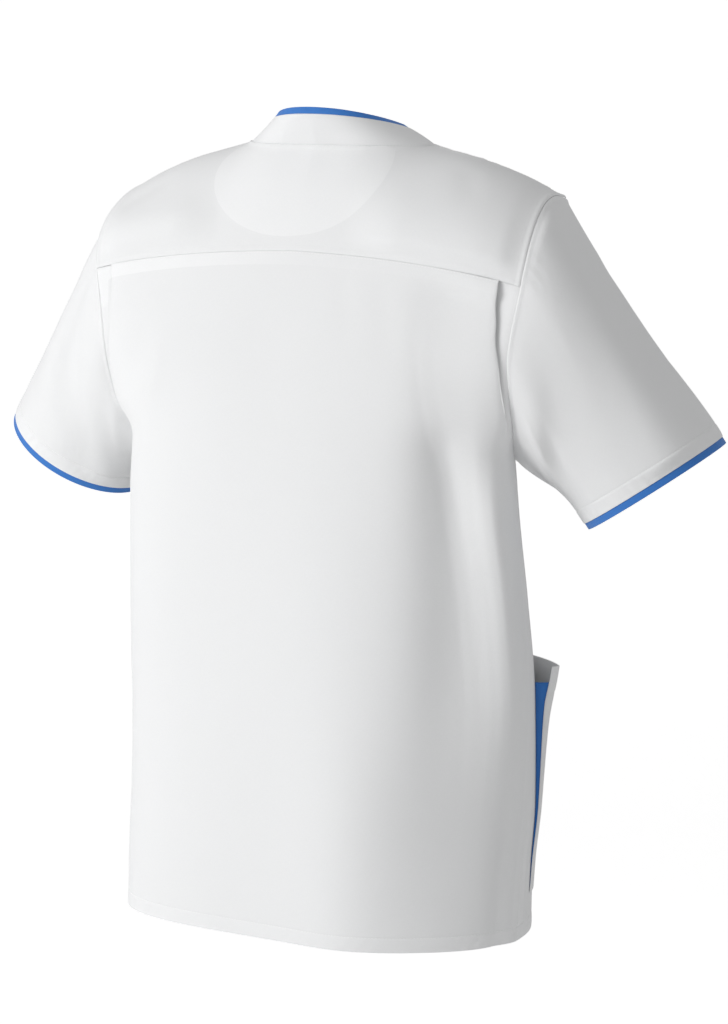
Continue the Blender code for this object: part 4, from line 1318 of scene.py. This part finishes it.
class TOP_OT_stitches(bpy.types.Operator):
    """Sew the hems and seams, and tack the hem at the sides"""

    bl_idname = "scrub_top.stitches"
    bl_label = "Stitches"

    def execute(self, context):
        hem = HEM_STEPS.index(HEM)
        close = SEAM_STEPS.index(CLOSE_STITCH)
        body_runs = (("back_panel", hem), ("back_panel", -1 - close), ("back_yoke", -1 - close),
                     ("front_panel", hem), ("front_panel", -1 - close))
        sleeve_runs = (("sleeve_left", -1 - hem), ("sleeve_right", -1 - hem))
        self.sew_all("stitches_body", body_runs, TACK_COLUMNS, hem)
        self.sew_all("stitches_sleeves", sleeve_runs, (), hem)
        return {"FINISHED"}

    def sew_all(self, name, runs, tack_columns, hem):
        """Sew along rows of sheets, and tack columns of the back at its hem, as one mesh."""
        scene = bpy.context.scene
        mesh = bmesh.new()
        for node, row in runs:
            sew(mesh, *line_of(node, row), scene.top_sizes)
        for tacked in tack_columns:
            line, out = line_of("back_panel", (slice(None), tacked))
            tack(mesh, line[hem - 4], line[hem] - line[hem - 4], out[hem - 4], scene.top_sizes)
        thread = finished(name, mesh, thread_finish("white thread", scene.top_looks.thread))
        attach(thread, BODY)


class TOP_OT_stage(bpy.types.Operator):
    """Set the floor, the lights and the camera"""

    bl_idname = "scrub_top.stage"
    bl_label = "Stage"

    def execute(self, context):
        scene, stage = context.scene, context.scene.top_stage
        scene.view_settings.view_transform = "Standard"
        away = Vector((-np.sin(stage.azimuth), np.cos(stage.azimuth), 0))
        right = Vector((away.y, -away.x, 0))
        floor = self.sweep(away, right, stage)
        world = bpy.data.worlds.new("studio")
        scene.world = world
        world.use_nodes = True
        world.node_tree.nodes["Background"].inputs["Color"].default_value = (1, 1, 1, 1)
        world.node_tree.nodes["Background"].inputs["Strength"].default_value = stage.ambient
        for name, turn, rise, power in LIGHTS:
            turn, rise = np.radians(turn), np.radians(rise)
            level = (right * np.sin(turn) - away * np.cos(turn)) * np.cos(rise)
            place = GARMENT_MIDDLE + (level + Vector((0, 0, np.sin(rise)))) * stage.light_distance
            self.light(name, place, stage.light_size, power * stage.light_power)
        camera = bpy.data.objects.new("camera", bpy.data.cameras.new("camera"))
        scene.collection.objects.link(camera)
        camera.data.sensor_width = SENSOR_WIDTH
        camera.data.lens = stage.lens
        camera.data.clip_end = 50
        camera.location = -away * stage.distance + right * stage.aside + Vector((0, 0, stage.height))
        look = away * np.cos(stage.tilt) - Vector((0, 0, np.sin(stage.tilt)))
        camera.rotation_euler = look.to_track_quat("-Z", "Y").to_euler()
        scene.camera = camera
        return {"FINISHED"}

    def sweep(self, away, right, stage):
        """Floor that curves up into a backdrop."""
        mesh = bmesh.new()
        bmesh.ops.create_grid(mesh, x_segments=1, y_segments=48, size=1)
        for vert in mesh.verts:
            far = (vert.co.y + 1) / 2 * FLOOR_LONG - FLOOR_HALF
            turn = min(max((far - FLOOR_BACK) / FLOOR_CURVE, 0), np.pi / 2)
            over = max(far - FLOOR_BACK - FLOOR_CURVE * np.pi / 2, 0)
            depth = min(far, FLOOR_BACK) + FLOOR_CURVE * np.sin(turn)
            height = FLOOR_CURVE * (1 - np.cos(turn)) + over - stage.floor_drop
            vert.co = away * depth + right * (vert.co.x * FLOOR_HALF) + Vector((0, 0, height))
        finish, tree, shader = plain_finish("studio floor", {
            "Base Color": (*bpy.context.scene.top_looks.floor, 1), "Roughness": 0.9,
            "Specular IOR Level": 0.1, "Emission Color": (1, 1, 1, 1)})
        path = node_of(tree, "ShaderNodeLightPath")
        glow = math_of(tree, "MULTIPLY", path.outputs["Is Camera Ray"], stage.floor_glow)
        tree.links.new(glow, shader.inputs["Emission Strength"])
        return finished("studio_floor", mesh, finish)

    def light(self, name, place, size, power):
        """A round soft light, aimed at the middle of the garment."""
        lamp = bpy.data.lights.new(name, "AREA")
        lamp.shape = "DISK"
        lamp.size = size
        lamp.energy = power
        holder = bpy.data.objects.new(name, lamp)
        holder.location = place
        holder.rotation_euler = (GARMENT_MIDDLE - place).to_track_quat("-Z", "Y").to_euler()
        bpy.context.scene.collection.objects.link(holder)


class TOP_PT_panel(bpy.types.Panel):
    """Steps that build the scrub top"""

    bl_idname = "TOP_PT_panel"
    bl_label = "Scrub Top"
    bl_space_type = "VIEW_3D"
    bl_region_type = "UI"
    bl_category = "Scrub Top"

    def draw(self, context):
        for group in ("top_sizes", "top_looks", "top_stage"):
            settings = getattr(context.scene, group)
            for name in settings.__annotations__:
                self.layout.prop(settings, name)
        for step in STEPS:
            self.layout.operator(step.bl_idname)


SETTINGS = (("top_sizes", TopSizes), ("top_looks", TopLooks), ("top_stage", TopStage))
STEPS = (TOP_OT_body, TOP_OT_sleeves, TOP_OT_neck, TOP_OT_pockets, TOP_OT_stitches, TOP_OT_stage)


def register():
    for name, settings in SETTINGS:
        bpy.utils.register_class(settings)
        setattr(bpy.types.Scene, name, PointerProperty(type=settings))
    for step in STEPS:
        bpy.utils.register_class(step)
    bpy.utils.register_class(TOP_PT_panel)


def unregister():
    bpy.utils.unregister_class(TOP_PT_panel)
    for step in reversed(STEPS):
        bpy.utils.unregister_class(step)
    for name, settings in reversed(SETTINGS):
        delattr(bpy.types.Scene, name)
        bpy.utils.unregister_class(settings)


def main():
    register()
    bpy.ops.scrub_top.body()
    bpy.ops.scrub_top.sleeves()
    bpy.ops.scrub_top.neck()
    bpy.ops.scrub_top.pockets()
    bpy.ops.scrub_top.stitches()
    bpy.ops.scrub_top.stage()


if __name__ == "__main__":
    main()
